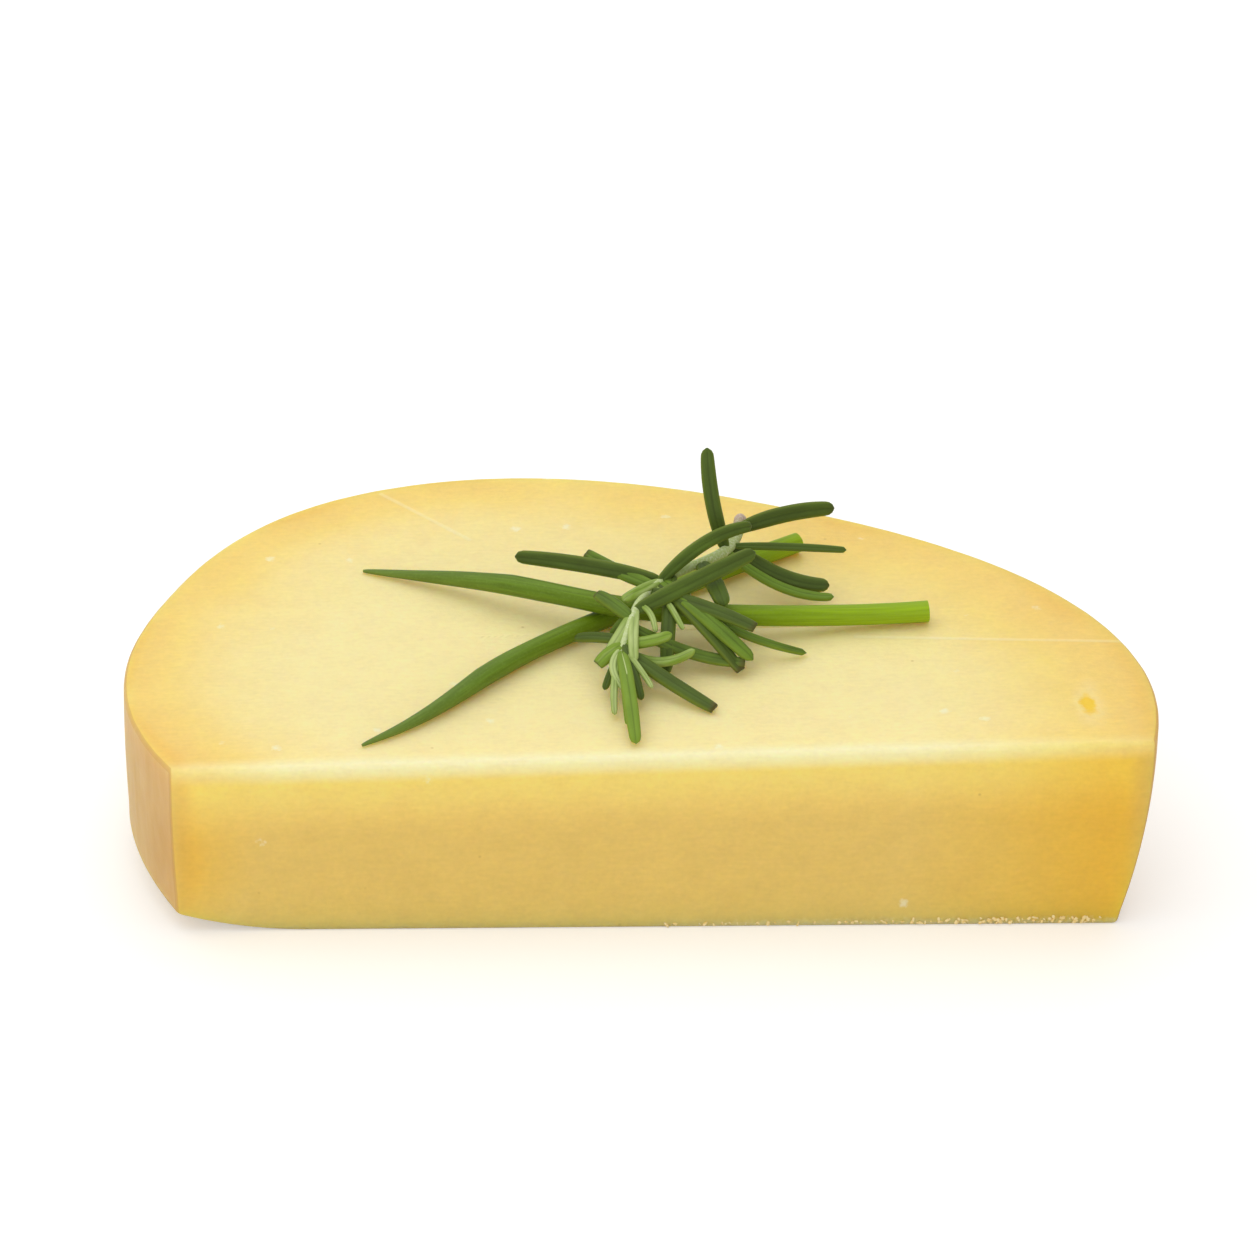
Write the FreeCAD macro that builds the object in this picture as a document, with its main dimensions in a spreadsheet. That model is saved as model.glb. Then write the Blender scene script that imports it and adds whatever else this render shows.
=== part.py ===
import FreeCAD, Part
import math
import os
from collections import namedtuple

import Sketcher
from FreeCAD import Placement, Rotation, Vector

# A slab of smoked provolone with its garnish. The slab is a slice of a large
# oval cheese, cut again straight through with a knife, so it has one flat
# upright face and one long curved rind. Two chives cross on top of it, and a
# sprig of rosemary lies over their crossing.
#
# Millimetres. X runs along the cut face, Y from the cut face to the rind at
# the back, Z up. The origin is under the middle of the slab, on what it
# stands on.

doc = FreeCAD.newDocument("smoked_provolone")
sheet = doc.addObject("Spreadsheet::Sheet", "sizes")

SIZES = [
    ("wheel_length", 166.7, "long way across the oval cheese the slab is from"),
    ("wheel_breadth", 131.8, "short way across it"),
    ("wheel_turn", 25.4, "degrees from the cut face to the long way"),
    ("wheel_squareness", 2.32, "power of the oval: 2 is an ellipse, more is boxier"),
    ("cut_in_front", 19.9, "from the middle of the oval to the cut face"),
    ("slab_thickness", 31.9, "over the origin"),
    ("top_slope", 1.5, "degrees that the top rises to the right"),
    ("left_lean", 1.5, "how far the rind comes in, from top to bottom"),
    ("right_lean", 4.6, "the same at the right"),
    ("back_lean", 3.0, "the same at the back"),
    ("heel_radius", 72.0, "of the underside where it rises to the left rind"),
    ("heel_width", 29.3, "from the left rind to where the underside is flat"),
    ("edge_softness", 0.6, "radius of the knife-cut edges"),
    ("resting_gap", 0.1, "between two things that lie on each other"),
    ("long_chive_diameter", 3.6, "away from its tip"),
    ("short_chive_diameter", 3.4, "away from its tip"),
    ("chive_tip_diameter", 0.5, "of both chives"),
    ("stem_diameter", 2.2, "of the rosemary at its cut end"),
    ("stem_tip_diameter", 1.2, "of the rosemary at its growing end"),
    ("leaf_breadth", 2.2, "of a common rosemary leaf"),
    ("leaf_thickness", 0.9, "of every rosemary leaf"),
]

for row, (alias, value, meaning) in enumerate(SIZES, start=1):
    sheet.set(f"A{row}", alias)
    sheet.set(f"B{row}", str(value))
    sheet.setAlias(f"B{row}", alias)
    sheet.set(f"C{row}", meaning)
doc.recompute()


def size(alias):
    """A size from the sheet."""
    return float(getattr(sheet, alias))


# ---- the slab of cheese ---------------------------------------------------

# Points that each outline of the rind goes through.
OUTLINE_POINTS = 48
# Shares of the thickness at which the rind's outline is drawn. The first and
# last lie past the slab, so that its faces are cut and not laid on each other.
LEVELS = (-0.1, 0.3, 0.7, 1.0, 1.3)
MARGIN = 12.0


def oval_reach(heading):
    """How far the oval reaches from its middle in one heading, in degrees."""
    power = size("wheel_squareness")
    dual = power / (power - 1)
    angle = math.radians(heading + size("wheel_turn"))
    along = size("wheel_length") / 2 * abs(math.cos(angle))
    across = size("wheel_breadth") / 2 * abs(math.sin(angle))
    return (along ** dual + across ** dual) ** (1 / dual)


half_width = oval_reach(0)
half_depth = (oval_reach(90) + size("cut_in_front")) / 2
middle_back = size("cut_in_front") - half_depth


def oval_point(heading):
    """The oval's edge in one heading from its middle, in degrees."""
    power = size("wheel_squareness")
    angle = math.radians(heading + size("wheel_turn"))
    along = abs(math.cos(angle)) / (size("wheel_length") / 2)
    across = abs(math.sin(angle)) / (size("wheel_breadth") / 2)
    radius = (along ** power + across ** power) ** (-1 / power)
    turn = math.radians(heading)
    return radius * math.cos(turn), radius * math.sin(turn)


def rind_outline(number, level):
    """The rind at one level: the oval, drawn in by that level's lean."""
    lean = max(0.0, 1 - level) ** 2
    left = size("left_lean") * lean
    right = size("right_lean") * lean
    wide = 1 - (left + right) / 2 / half_width
    deep = 1 - size("back_lean") * lean / oval_reach(90)
    points = []
    for step in range(OUTLINE_POINTS):
        x, y = oval_point(360 * step / OUTLINE_POINTS)
        points.append(Vector(x * wide + (left - right) / 2, middle_back + y * deep, 0))
    curve = Part.BSplineCurve()
    curve.interpolate(Points=points, PeriodicFlag=True)
    outline = doc.addObject("Part::Feature", f"rind_outline_{number}")
    outline.Shape = Part.Wire([curve.toShape()])
    outline.setExpression("Placement.Base.z", f"sizes.slab_thickness * {level}")
    return outline


def side_profile():
    """The slab seen from the cut face: flat foot, raised heel, sloping top."""
    left = -half_width - MARGIN
    right = half_width + MARGIN
    heel = -half_width + size("heel_width")
    radius = size("heel_radius")
    slope = math.radians(size("top_slope"))
    top_left = size("slab_thickness") + left * math.tan(slope)
    top_right = size("slab_thickness") + right * math.tan(slope)
    swing = math.asin((heel - left) / radius)
    heel_end = Vector(left, radius - radius * math.cos(swing), 0)

    profile = doc.addObject("Sketcher::SketchObject", "side_profile")
    profile.Placement = Placement(Vector(0, -half_depth, 0), Rotation(Vector(1, 0, 0), 90))
    foot = profile.addGeometry(Part.LineSegment(Vector(heel, 0, 0), Vector(right, 0, 0)))
    right_side = profile.addGeometry(Part.LineSegment(Vector(right, 0, 0), Vector(right, top_right, 0)))
    top = profile.addGeometry(Part.LineSegment(Vector(right, top_right, 0), Vector(left, top_left, 0)))
    left_side = profile.addGeometry(Part.LineSegment(Vector(left, top_left, 0), heel_end))
    circle = Part.Circle(Vector(heel, radius, 0), Vector(0, 0, 1), radius)
    heel_arc = profile.addGeometry(Part.ArcOfCircle(circle, 1.5 * math.pi - swing, 1.5 * math.pi))

    start, end, origin, x_axis = 1, 2, -1, -1
    profile.addConstraint([
        Sketcher.Constraint("Coincident", foot, end, right_side, start),
        Sketcher.Constraint("Coincident", right_side, end, top, start),
        Sketcher.Constraint("Coincident", top, end, left_side, start),
        Sketcher.Constraint("Coincident", left_side, end, heel_arc, start),
        Sketcher.Constraint("Tangent", heel_arc, end, foot, start),
        Sketcher.Constraint("PointOnObject", foot, start, x_axis),
        Sketcher.Constraint("Horizontal", foot),
        Sketcher.Constraint("Vertical", right_side),
        Sketcher.Constraint("Vertical", left_side),
        Sketcher.Constraint("DistanceX", foot, start, origin, start, -heel),
        Sketcher.Constraint("DistanceX", origin, start, foot, end, right),
        Sketcher.Constraint("DistanceX", left_side, start, origin, start, -left),
    ])
    bound = [
        ("heel_radius", Sketcher.Constraint("Radius", heel_arc, radius), "sizes.heel_radius"),
        ("rise", Sketcher.Constraint("Angle", x_axis, start, top, end, slope), "sizes.top_slope"),
        ("thickness",
         Sketcher.Constraint("Distance", origin, start, top, size("slab_thickness") * math.cos(slope)),
         "sizes.slab_thickness * cos(sizes.top_slope)"),
    ]
    for name, constraint, expression in bound:
        index = profile.addConstraint(constraint)
        profile.renameConstraint(index, name)
        profile.setExpression(f"Constraints.{name}", expression)
    return profile


def make_cheese():
    """The oval cheese between its rind's outlines, cut to the side profile."""
    wheel = doc.addObject("Part::Loft", "wheel")
    wheel.Sections = [rind_outline(number, level) for number, level in enumerate(LEVELS)]
    wheel.Solid = True
    slice_block = doc.addObject("Part::Extrusion", "slice_block")
    slice_block.Base = side_profile()
    slice_block.DirMode = "Normal"
    slice_block.Solid = True
    slice_block.Reversed = True
    slice_block.setExpression("LengthFwd", "sizes.wheel_length + sizes.wheel_breadth")
    sharp_slab = doc.addObject("Part::Common", "sharp_slab")
    sharp_slab.Base = wheel
    sharp_slab.Tool = slice_block
    doc.recompute()
    softness = size("edge_softness")
    slab = doc.addObject("Part::Fillet", "smoked_cheese_slab")
    slab.Base = sharp_slab
    slab.Edges = [(edge, softness, softness) for edge in range(1, len(sharp_slab.Shape.Edges) + 1)]
    return slab


# ---- what lies on the top -------------------------------------------------
# The garnish is laid out on the slab's top: X along the slope, Y to the back
# and the height off the cheese. lay_on_top then sets each piece on the slope.


def lay_on_top(piece):
    """Set a piece that was laid out flat on the sloping top."""
    piece.Placement = Placement(Vector(0, 0, size("slab_thickness")),
                                Rotation(Vector(0, -1, 0), size("top_slope")))
    piece.setExpression("Placement.Base.z", "sizes.slab_thickness")
    piece.setExpression("Placement.Rotation.Angle", "sizes.top_slope")


def facing(tangent, upward):
    """Axes of a cross-section: its breadth, its upper side and its way along."""
    forward = Vector(tangent).normalize()
    breadth = Vector(upward).cross(forward).normalize()
    return Rotation(breadth, forward.cross(breadth), forward, "ZXY")


def smooth_curve(points):
    """One smooth curve through a few points."""
    curve = Part.BSplineCurve()
    curve.interpolate(Points=[Vector(*point) for point in points])
    return curve


def point_at(curve, share):
    """The point at a share of a curve's length."""
    return curve.value(curve.parameterAtDistance(share * curve.length(), curve.FirstParameter))


def round_rod(name, centres, radii):
    """A round rod along its centres, with an expression for each radius."""
    last = len(centres) - 1
    sections = []
    for index, (centre, radius) in enumerate(zip(centres, radii)):
        tangent = centres[min(index + 1, last)] - centres[max(index - 1, 0)]
        circle = doc.addObject("Part::Circle", f"{name}_section_{index}")
        circle.Placement = Placement(centre, facing(tangent, Vector(0, 0, 1)))
        circle.setExpression("Radius", radius)
        sections.append(circle)
    rod = doc.addObject("Part::Loft", name)
    rod.Sections = sections
    rod.Solid = True
    return rod


# Where each chive runs over the top, across and back, from its tip.
LONG_CHIVE = [(-43, 15), (-32.5, 10.2), (-21, 3.4), (-7, -5.4), (6, -9.3), (20, -9), (34, -7.5), (48, -6)]
SHORT_CHIVE = [(-45, -40.5), (-39.5, -37), (-32.5, -31), (-21, -18.5), (-9, -8.5), (12, 7), (28.5, 18)]
ROD_SECTIONS = 12
# A chive is a pointed leaf: it widens to its full diameter over this share of
# its length, the faster the nearer to its tip.
CHIVE_WIDENING = 0.28
CHIVE_POWER = 0.75

long_route = smooth_curve([(across, back, 0) for across, back in LONG_CHIVE])
short_route = smooth_curve([(across, back, 0) for across, back in SHORT_CHIVE])


def fullness(share):
    """How far a chive has widened at a share of its length."""
    return min(1.0, share / CHIVE_WIDENING) ** CHIVE_POWER


def chive_diameter(name, share):
    """A chive's diameter at a share of its length."""
    full = fullness(share)
    return size("chive_tip_diameter") * (1 - full) + size(f"{name}_diameter") * full


def share_nearest(route, point):
    """The share of a route's length at the point of it nearest to a given one."""
    parameter = route.parameter(point)
    return route.length(route.FirstParameter, parameter) / route.length()


crossing = long_route.intersect(short_route)[0]
crossing = Vector(crossing.X, crossing.Y, crossing.Z)
long_crossing = share_nearest(long_route, crossing)
short_crossing = share_nearest(short_route, crossing)
bow_height = chive_diameter("short_chive", short_crossing) + size("resting_gap")
pile_height = size("resting_gap") + bow_height + chive_diameter("long_chive", long_crossing)


def bowed_over(share):
    """How far the long chive is lifted, where it bows over the short one."""
    end = 0.0 if share < long_crossing else 1.0
    away = (share - long_crossing) / (end - long_crossing)
    return bow_height * math.cos(math.pi / 2 * away) ** 2


def lying_flat(share):
    """A chive that nothing lifts."""
    return 0.0


def make_chive(name, route, lift):
    """A chive that lies along its route on the top."""
    centres = []
    radii = []
    for index in range(ROD_SECTIONS + 1):
        share = index / ROD_SECTIONS
        full = fullness(share)
        centre = point_at(route, share)
        centre.z = size("resting_gap") + chive_diameter(name, share) / 2 + lift(share)
        centres.append(centre)
        radii.append(f"(sizes.chive_tip_diameter * {1 - full} + sizes.{name}_diameter * {full}) / 2")
    chive = round_rod(name, centres, radii)
    lay_on_top(chive)
    return chive


# The rosemary's stem, from its growing end to its cut end: across, back and
# height over the top of the long chive, which carries it.
STEM = [(-3, -22.3, -2.4), (-1, -16.5, 0.4), (3, -7, 1.1), (9, -1.5, 1.4), (15, 4, 0.9), (19, 17, -0.2)]

# One rosemary leaf: how far along the stem it grows, from the growing end;
# where its tip is; how far its middle rises and goes aside, to the left as
# seen from its base; how broad it is against a common leaf; and how far its
# face leans from upward to forward.
Leaf = namedtuple("Leaf", "along across back height rise aside breadth lean")
LEAVES = [
    # the grown leaves, from the cut end of the stem
    Leaf(0.74, 13.0, 10.0, 24.5, 0.0, 0.8, 1.15, 1.0),
    Leaf(0.92, 34.5, 18.0, 8.0, 0.9, 0.0, 1.25, 0.7),
    Leaf(0.78, 35.5, 5.0, 7.5, 0.2, 0.0, 0.6, 0.5),
    Leaf(0.79, 32.5, 1.5, 3.0, -2.0, 0.0, 1.2, 0.6),
    Leaf(0.74, 33.0, -1.5, 2.5, -2.4, 0.0, 0.8, 0.3),
    Leaf(0.40, 20.0, 5.0, 12.5, 2.2, 0.0, 1.05, 0.7),
    Leaf(0.20, 20.0, -3.5, 12.5, 0.1, 0.0, 1.3, 0.6),
    Leaf(0.60, 14.5, -11.5, 7.2, 0.8, 0.0, 1.4, 0.2),
    Leaf(0.34, 19.0, -18.0, 6.8, 0.6, 0.0, 1.1, 0.4),
    Leaf(0.42, 18.5, -21.0, 2.5, 2.0, -1.5, 1.25, 0.2),
    Leaf(0.40, 16.5, -22.0, 1.2, 2.0, -0.8, 1.1, 0.1),
    Leaf(0.44, 27.5, -16.0, 0.6, 1.0, -5.0, 0.7, 0.3),
    Leaf(0.42, -18.5, 6.5, 7.2, 0.6, 0.0, 1.2, 0.7),
    Leaf(0.38, -7.0, 3.2, 9.3, -0.5, 0.0, 1.0, 0.5),
    Leaf(0.42, -2.0, -12.0, 9.0, 0.2, 0.0, 0.9, 0.3),
    Leaf(0.16, -6.0, -10.0, 9.2, 0.3, 0.0, 1.1, 0.3),
    Leaf(0.18, -4.0, -15.5, 4.2, 0.4, 0.0, 0.9, 0.4),
    Leaf(0.06, -9.8, -13.2, 3.0, 0.4, 0.0, 0.85, 0.4),
    Leaf(0.13, 17.2, -21.2, 2.2, -1.5, 0.0, 0.95, 0.4),
    Leaf(0.47, 4.4, -22.6, 1.2, 2.0, 0.0, 1.1, 0.1),
    Leaf(0.03, 11.5, -33.0, 0.8, -0.4, 0.0, 1.15, 0.3),
    # the young leaves round the growing end
    Leaf(0.05, 5.5, -20.5, 7.5, -0.5, 0.0, 0.95, 0.3),
    Leaf(0.03, 9.0, -23.5, 6.2, -2.4, 0.0, 0.8, 0.3),
    Leaf(0.02, -1.6, -43.0, 0.7, 1.4, 0.0, 1.05, 0.0),
    Leaf(0.02, -4.5, -34.2, 0.9, 0.8, -0.5, 0.55, 0.2),
    Leaf(0.01, -2.6, -37.3, 0.8, 0.8, 0.0, 0.5, 0.3),
    Leaf(0.02, -1.5, -34.0, 4.0, 0.6, 0.0, 0.4, 0.2),
    Leaf(0.03, 1.8, -29.8, 3.0, 0.5, 0.0, 0.45, 0.2),
    Leaf(0.01, -5.8, -27.5, 1.6, 0.4, 0.0, 0.6, 0.2),
    Leaf(0.05, 0.0, -31.0, 1.6, 0.6, 0.0, 0.7, 0.1),
    Leaf(0.04, -6.6, -22.8, 3.5, 0.4, 0.0, 1.1, 0.3),
    Leaf(0.38, 7.5, -17.5, 6.5, 0.6, 0.0, 0.45, 0.3),
    Leaf(0.20, -5.2, -22.0, 4.6, 0.5, 0.3, 0.85, 0.3),
    Leaf(0.22, -0.8, -24.6, 5.0, 0.6, -0.3, 0.8, 0.3),
    Leaf(0.03, -1.2, -31.2, 2.2, 0.6, -2.4, 0.55, 0.5),
    Leaf(0.24, 3.0, -18.2, 6.5, 0.9, 0.6, 0.45, 0.3),
]

# Shares of a leaf's length where its section is drawn, with its breadth there.
LEAF_STATIONS = [(0.0, 0.45), (0.2, 0.95), (0.6, 1.0), (0.9, 0.8), (1.0, 0.4)]


stem_route = smooth_curve([(across, back, pile_height + over) for across, back, over in STEM])


def make_leaf(number, leaf):
    """A rosemary leaf: narrow, evenly broad, blunt, slightly bowed."""
    base = point_at(stem_route, leaf.along)
    tip = Vector(leaf.across, leaf.back, leaf.height)
    upward = Vector(0, -leaf.lean, 1 - leaf.lean)
    leftward = Vector(0, 0, 1).cross(tip - base).normalize()
    middle = (base + tip) * 0.5 + Vector(0, 0, 2 * leaf.rise) + leftward * (2 * leaf.aside)
    sections = []
    for station, (share, breadth) in enumerate(LEAF_STATIONS):
        place = base * (1 - share) ** 2 + middle * (2 * share * (1 - share)) + tip * share ** 2
        tangent = (middle - base) * (1 - share) + (tip - middle) * share
        section = doc.addObject("Part::Ellipse", f"leaf_{number}_section_{station}")
        section.Placement = Placement(place, facing(tangent, upward))
        section.setExpression("MajorRadius", f"sizes.leaf_breadth / 2 * {leaf.breadth * breadth}")
        section.setExpression("MinorRadius", f"sizes.leaf_thickness / 2 * {leaf.breadth ** 0.5 * breadth}")
        sections.append(section)
    blade = doc.addObject("Part::Loft", f"leaf_{number}")
    blade.Sections = sections
    blade.Solid = True
    return blade


def make_sprig():
    """The stem and its leaves, grown together as one piece."""
    shares = [index / ROD_SECTIONS for index in range(ROD_SECTIONS + 1)]
    radii = [
        f"(sizes.stem_tip_diameter * {1 - share} + sizes.stem_diameter * {share}) / 2"
        for share in shares
    ]
    stem = round_rod("stem", [point_at(stem_route, share) for share in shares], radii)
    sprig = doc.addObject("Part::MultiFuse", "rosemary_sprig")
    sprig.Shapes = [stem] + [make_leaf(number, leaf) for number, leaf in enumerate(LEAVES)]
    lay_on_top(sprig)
    return sprig


# ---- build, check and write -----------------------------------------------

pieces = [
    make_cheese(),
    make_chive("long_chive", long_route, bowed_over),
    make_chive("short_chive", short_route, lying_flat),
    make_sprig(),
]
doc.recompute()

for item in doc.Objects:
    if "Invalid" in item.State or "Error" in item.State:
        raise RuntimeError(f"{item.Name} did not build: {item.State}")

os.makedirs("parts", exist_ok=True)
for piece in pieces:
    shape = piece.Shape
    if shape.isNull() or not shape.isValid() or len(shape.Solids) != 1:
        raise RuntimeError(f"{piece.Label} is not one sound solid")
    shape.exportStep(f"parts/{piece.Label}.step")
    print(f"{piece.Label}: {shape.Volume / 1000:.2f} cm3")
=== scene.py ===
import math

import bmesh
import bpy
import numpy as np
from mathutils import Matrix, Vector, noise


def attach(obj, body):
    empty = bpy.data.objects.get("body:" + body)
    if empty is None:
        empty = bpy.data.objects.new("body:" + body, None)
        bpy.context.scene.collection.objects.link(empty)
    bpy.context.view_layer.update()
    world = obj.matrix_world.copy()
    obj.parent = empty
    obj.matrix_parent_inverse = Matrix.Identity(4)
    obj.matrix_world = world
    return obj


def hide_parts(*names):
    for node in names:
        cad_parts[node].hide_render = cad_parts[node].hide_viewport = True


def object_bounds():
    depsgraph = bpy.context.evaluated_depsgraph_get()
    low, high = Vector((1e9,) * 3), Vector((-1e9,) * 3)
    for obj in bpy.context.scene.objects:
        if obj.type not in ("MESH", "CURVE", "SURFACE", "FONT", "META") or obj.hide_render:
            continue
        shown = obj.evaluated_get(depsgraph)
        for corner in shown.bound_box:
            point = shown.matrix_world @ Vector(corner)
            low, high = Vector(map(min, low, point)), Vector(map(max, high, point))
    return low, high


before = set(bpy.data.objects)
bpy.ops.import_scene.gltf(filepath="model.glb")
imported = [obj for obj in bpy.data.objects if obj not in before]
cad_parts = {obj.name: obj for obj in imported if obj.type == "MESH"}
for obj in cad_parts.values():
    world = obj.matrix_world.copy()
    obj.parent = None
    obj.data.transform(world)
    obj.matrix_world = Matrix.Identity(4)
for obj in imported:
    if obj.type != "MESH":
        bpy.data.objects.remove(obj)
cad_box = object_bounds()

# ---- The table, the light and the camera ----------------------------------
# A white table top under a large soft lamp, hung high and a little behind the
# slab, with a weaker one low in front and white paper all round. The camera is
# far off in front, looking down at about 30 degrees.

MM = 0.001
TABLE_WHITE = "#E6E5E2"
LAMP_SIZE = (2.0, 1.5)
LAMP_PLACE = Vector((-0.25, 0.35, 1.1))
LAMP_POWER = 9.4
FILL_SIZE = (1.6, 1.0)
FILL_PLACE = Vector((-0.35, -1.45, 0.55))
FILL_POWER = 6.8
CAMERA_PLACE = Vector((-0.0952, -1.3181, 0.7959))
CAMERA_UP = Vector((-math.sin(math.radians(1.5)), 0, math.cos(math.radians(1.5))))
CAMERA_LENS = 268


def colour(code):
    """A colour written as an sRGB hex value, as the linear one that a shader takes."""
    parts = [int(code[place:place + 2], 16) / 255 for place in (1, 3, 5)]
    return [p / 12.92 if p <= 0.04045 else ((p + 0.055) / 1.055) ** 2.4 for p in parts] + [1]


def add(tree, kind, settings=None, feeds=None, stops=()):
    """Add a node: its settings, what feeds each socket, and the colours of a ramp."""
    made = tree.nodes.new(kind)
    for name, value in (settings or {}).items():
        setattr(made, name, value)
    for name, value in (feeds or {}).items():
        if isinstance(value, bpy.types.Node):
            value = value.outputs[0]
        if isinstance(value, bpy.types.NodeSocket):
            tree.links.new(value, made.inputs[name])
        else:
            made.inputs[name].default_value = value
    for number, (at, code) in enumerate(stops):
        element = made.color_ramp.elements[number] if number < 2 else made.color_ramp.elements.new(at)
        element.position, element.color = at, colour(code)
    return made


def new_material(name):
    """An empty material and its tree."""
    made = bpy.data.materials.new(name)
    made.use_nodes = True
    made.node_tree.nodes.clear()
    return made, made.node_tree


def shown(name, vertices, faces, material):
    """A mesh piece in the scene, smooth all over."""
    mesh = bpy.data.meshes.new(name)
    mesh.from_pydata(vertices, [], faces)
    mesh.shade_smooth()
    mesh.materials.append(material)
    piece = bpy.data.objects.new(name, mesh)
    bpy.context.scene.collection.objects.link(piece)
    return piece


# Matt white laminate: even and pale, and pure white where nothing shades it.
table_laminate, tree = new_material("white_laminate")
sight = add(tree, "ShaderNodeLightPath").outputs["Is Camera Ray"]
laminate = add(tree, "ShaderNodeBsdfPrincipled", feeds={"Base Color": colour(TABLE_WHITE), "Roughness": 0.6})
glow = add(tree, "ShaderNodeEmission", feeds={"Color": (1, 1, 1, 1), "Strength": 0.35})
dark = add(tree, "ShaderNodeEmission", feeds={"Color": (0, 0, 0, 1), "Strength": 0.0})
seen = add(tree, "ShaderNodeMixShader", feeds={0: sight, 1: dark, 2: glow})
whole = add(tree, "ShaderNodeAddShader", feeds={0: laminate, 1: seen})
add(tree, "ShaderNodeOutputMaterial", feeds={"Surface": whole})
reach = 6.0
table = shown("table_top", [(-reach, -reach, 0), (reach, -reach, 0), (reach, reach, 0), (-reach, reach, 0)],
    [(0, 1, 2, 3)], table_laminate)

# White paper all round: soft light from every side, and pure white to the eye.
paper = bpy.data.worlds.new("white_paper")
paper.use_nodes = True
tree = paper.node_tree
tree.nodes.clear()
sight = add(tree, "ShaderNodeLightPath").outputs["Is Camera Ray"]
strength = add(tree, "ShaderNodeMix", {"data_type": "FLOAT"}, {0: sight, 2: 0.55, 3: 1.0})
white = add(tree, "ShaderNodeBackground", feeds={"Color": (1, 1, 1, 1), "Strength": strength})
add(tree, "ShaderNodeOutputWorld", feeds={"Surface": white})
bpy.context.scene.world = paper

middle = (cad_box[0] + cad_box[1]) / 2
lamp_light = bpy.data.lights.new("soft_lamp", "AREA")
lamp_light.shape = "RECTANGLE"
lamp_light.size, lamp_light.size_y = LAMP_SIZE
lamp_light.energy = LAMP_POWER
lamp = bpy.data.objects.new("soft_lamp", lamp_light)
lamp.location = LAMP_PLACE
lamp.rotation_euler = (middle - LAMP_PLACE).to_track_quat("-Z", "Y").to_euler()
bpy.context.scene.collection.objects.link(lamp)

fill_light = bpy.data.lights.new("soft_fill", "AREA")
fill_light.shape = "RECTANGLE"
fill_light.size, fill_light.size_y = FILL_SIZE
fill_light.energy = FILL_POWER
fill = bpy.data.objects.new("soft_fill", fill_light)
fill.location = FILL_PLACE
fill.rotation_euler = (middle - FILL_PLACE).to_track_quat("-Z", "Y").to_euler()
bpy.context.scene.collection.objects.link(fill)

camera_data = bpy.data.cameras.new("camera")
camera_data.lens = CAMERA_LENS
camera_data.clip_start, camera_data.clip_end = 0.05, 30
camera = bpy.data.objects.new("camera", camera_data)
back = (CAMERA_PLACE - middle).normalized()
right = CAMERA_UP.cross(back).normalized()
camera.matrix_world = Matrix.Translation(CAMERA_PLACE) @ Matrix((right, back.cross(right), back)).transposed().to_4x4()
bpy.context.scene.collection.objects.link(camera)
bpy.context.scene.camera = camera
bpy.context.scene.view_settings.view_transform = "Standard"

# ---- The slab of smoked provolone -----------------------------------------
# Stretched curd, pressed in an oval mould, brined, and smoked until its skin
# is amber. A thick round of it, sliced off and then cut through with a knife.

WHEEL_HALVES = (166.7 / 2, 131.8 / 2)
WHEEL_TURN = math.radians(25.4)
WHEEL_POWER = 2.32
CUT_IN_FRONT = 19.9
THICKNESS = 31.9
TOP_RISE = math.tan(math.radians(1.5))
LEANS = {"left": 1.5, "right": 4.6, "back": 3.0}
HEEL_RADIUS = 72.0
HEEL_WIDTH = 29.3
EDGE_SOFTNESS = 0.6
TOP_SOFTNESS = 0.8
CORNER_SOFTNESS = 0.8
RIND_WAVE = 0.35
CUT_WAVE = 0.14


def oval_reach(turn):
    """How far the oval reaches from its middle in one heading."""
    dual = WHEEL_POWER / (WHEEL_POWER - 1)
    along = WHEEL_HALVES[0] * abs(math.cos(turn + WHEEL_TURN))
    across = WHEEL_HALVES[1] * abs(math.sin(turn + WHEEL_TURN))
    return (along ** dual + across ** dual) ** (1 / dual)


half_width = oval_reach(0)
half_depth = (oval_reach(math.pi / 2) + CUT_IN_FRONT) / 2
oval_middle = CUT_IN_FRONT - half_depth
heel = -half_width + HEEL_WIDTH


def spaced(line, count):
    """A line's points, drawn anew at equal steps along it."""
    lengths = np.concatenate([[0], np.cumsum(np.linalg.norm(np.diff(line, axis=0), axis=1))])
    steps = np.linspace(0, lengths[-1], count)
    return np.column_stack([np.interp(steps, lengths, line[:, axis]) for axis in range(2)])


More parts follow.
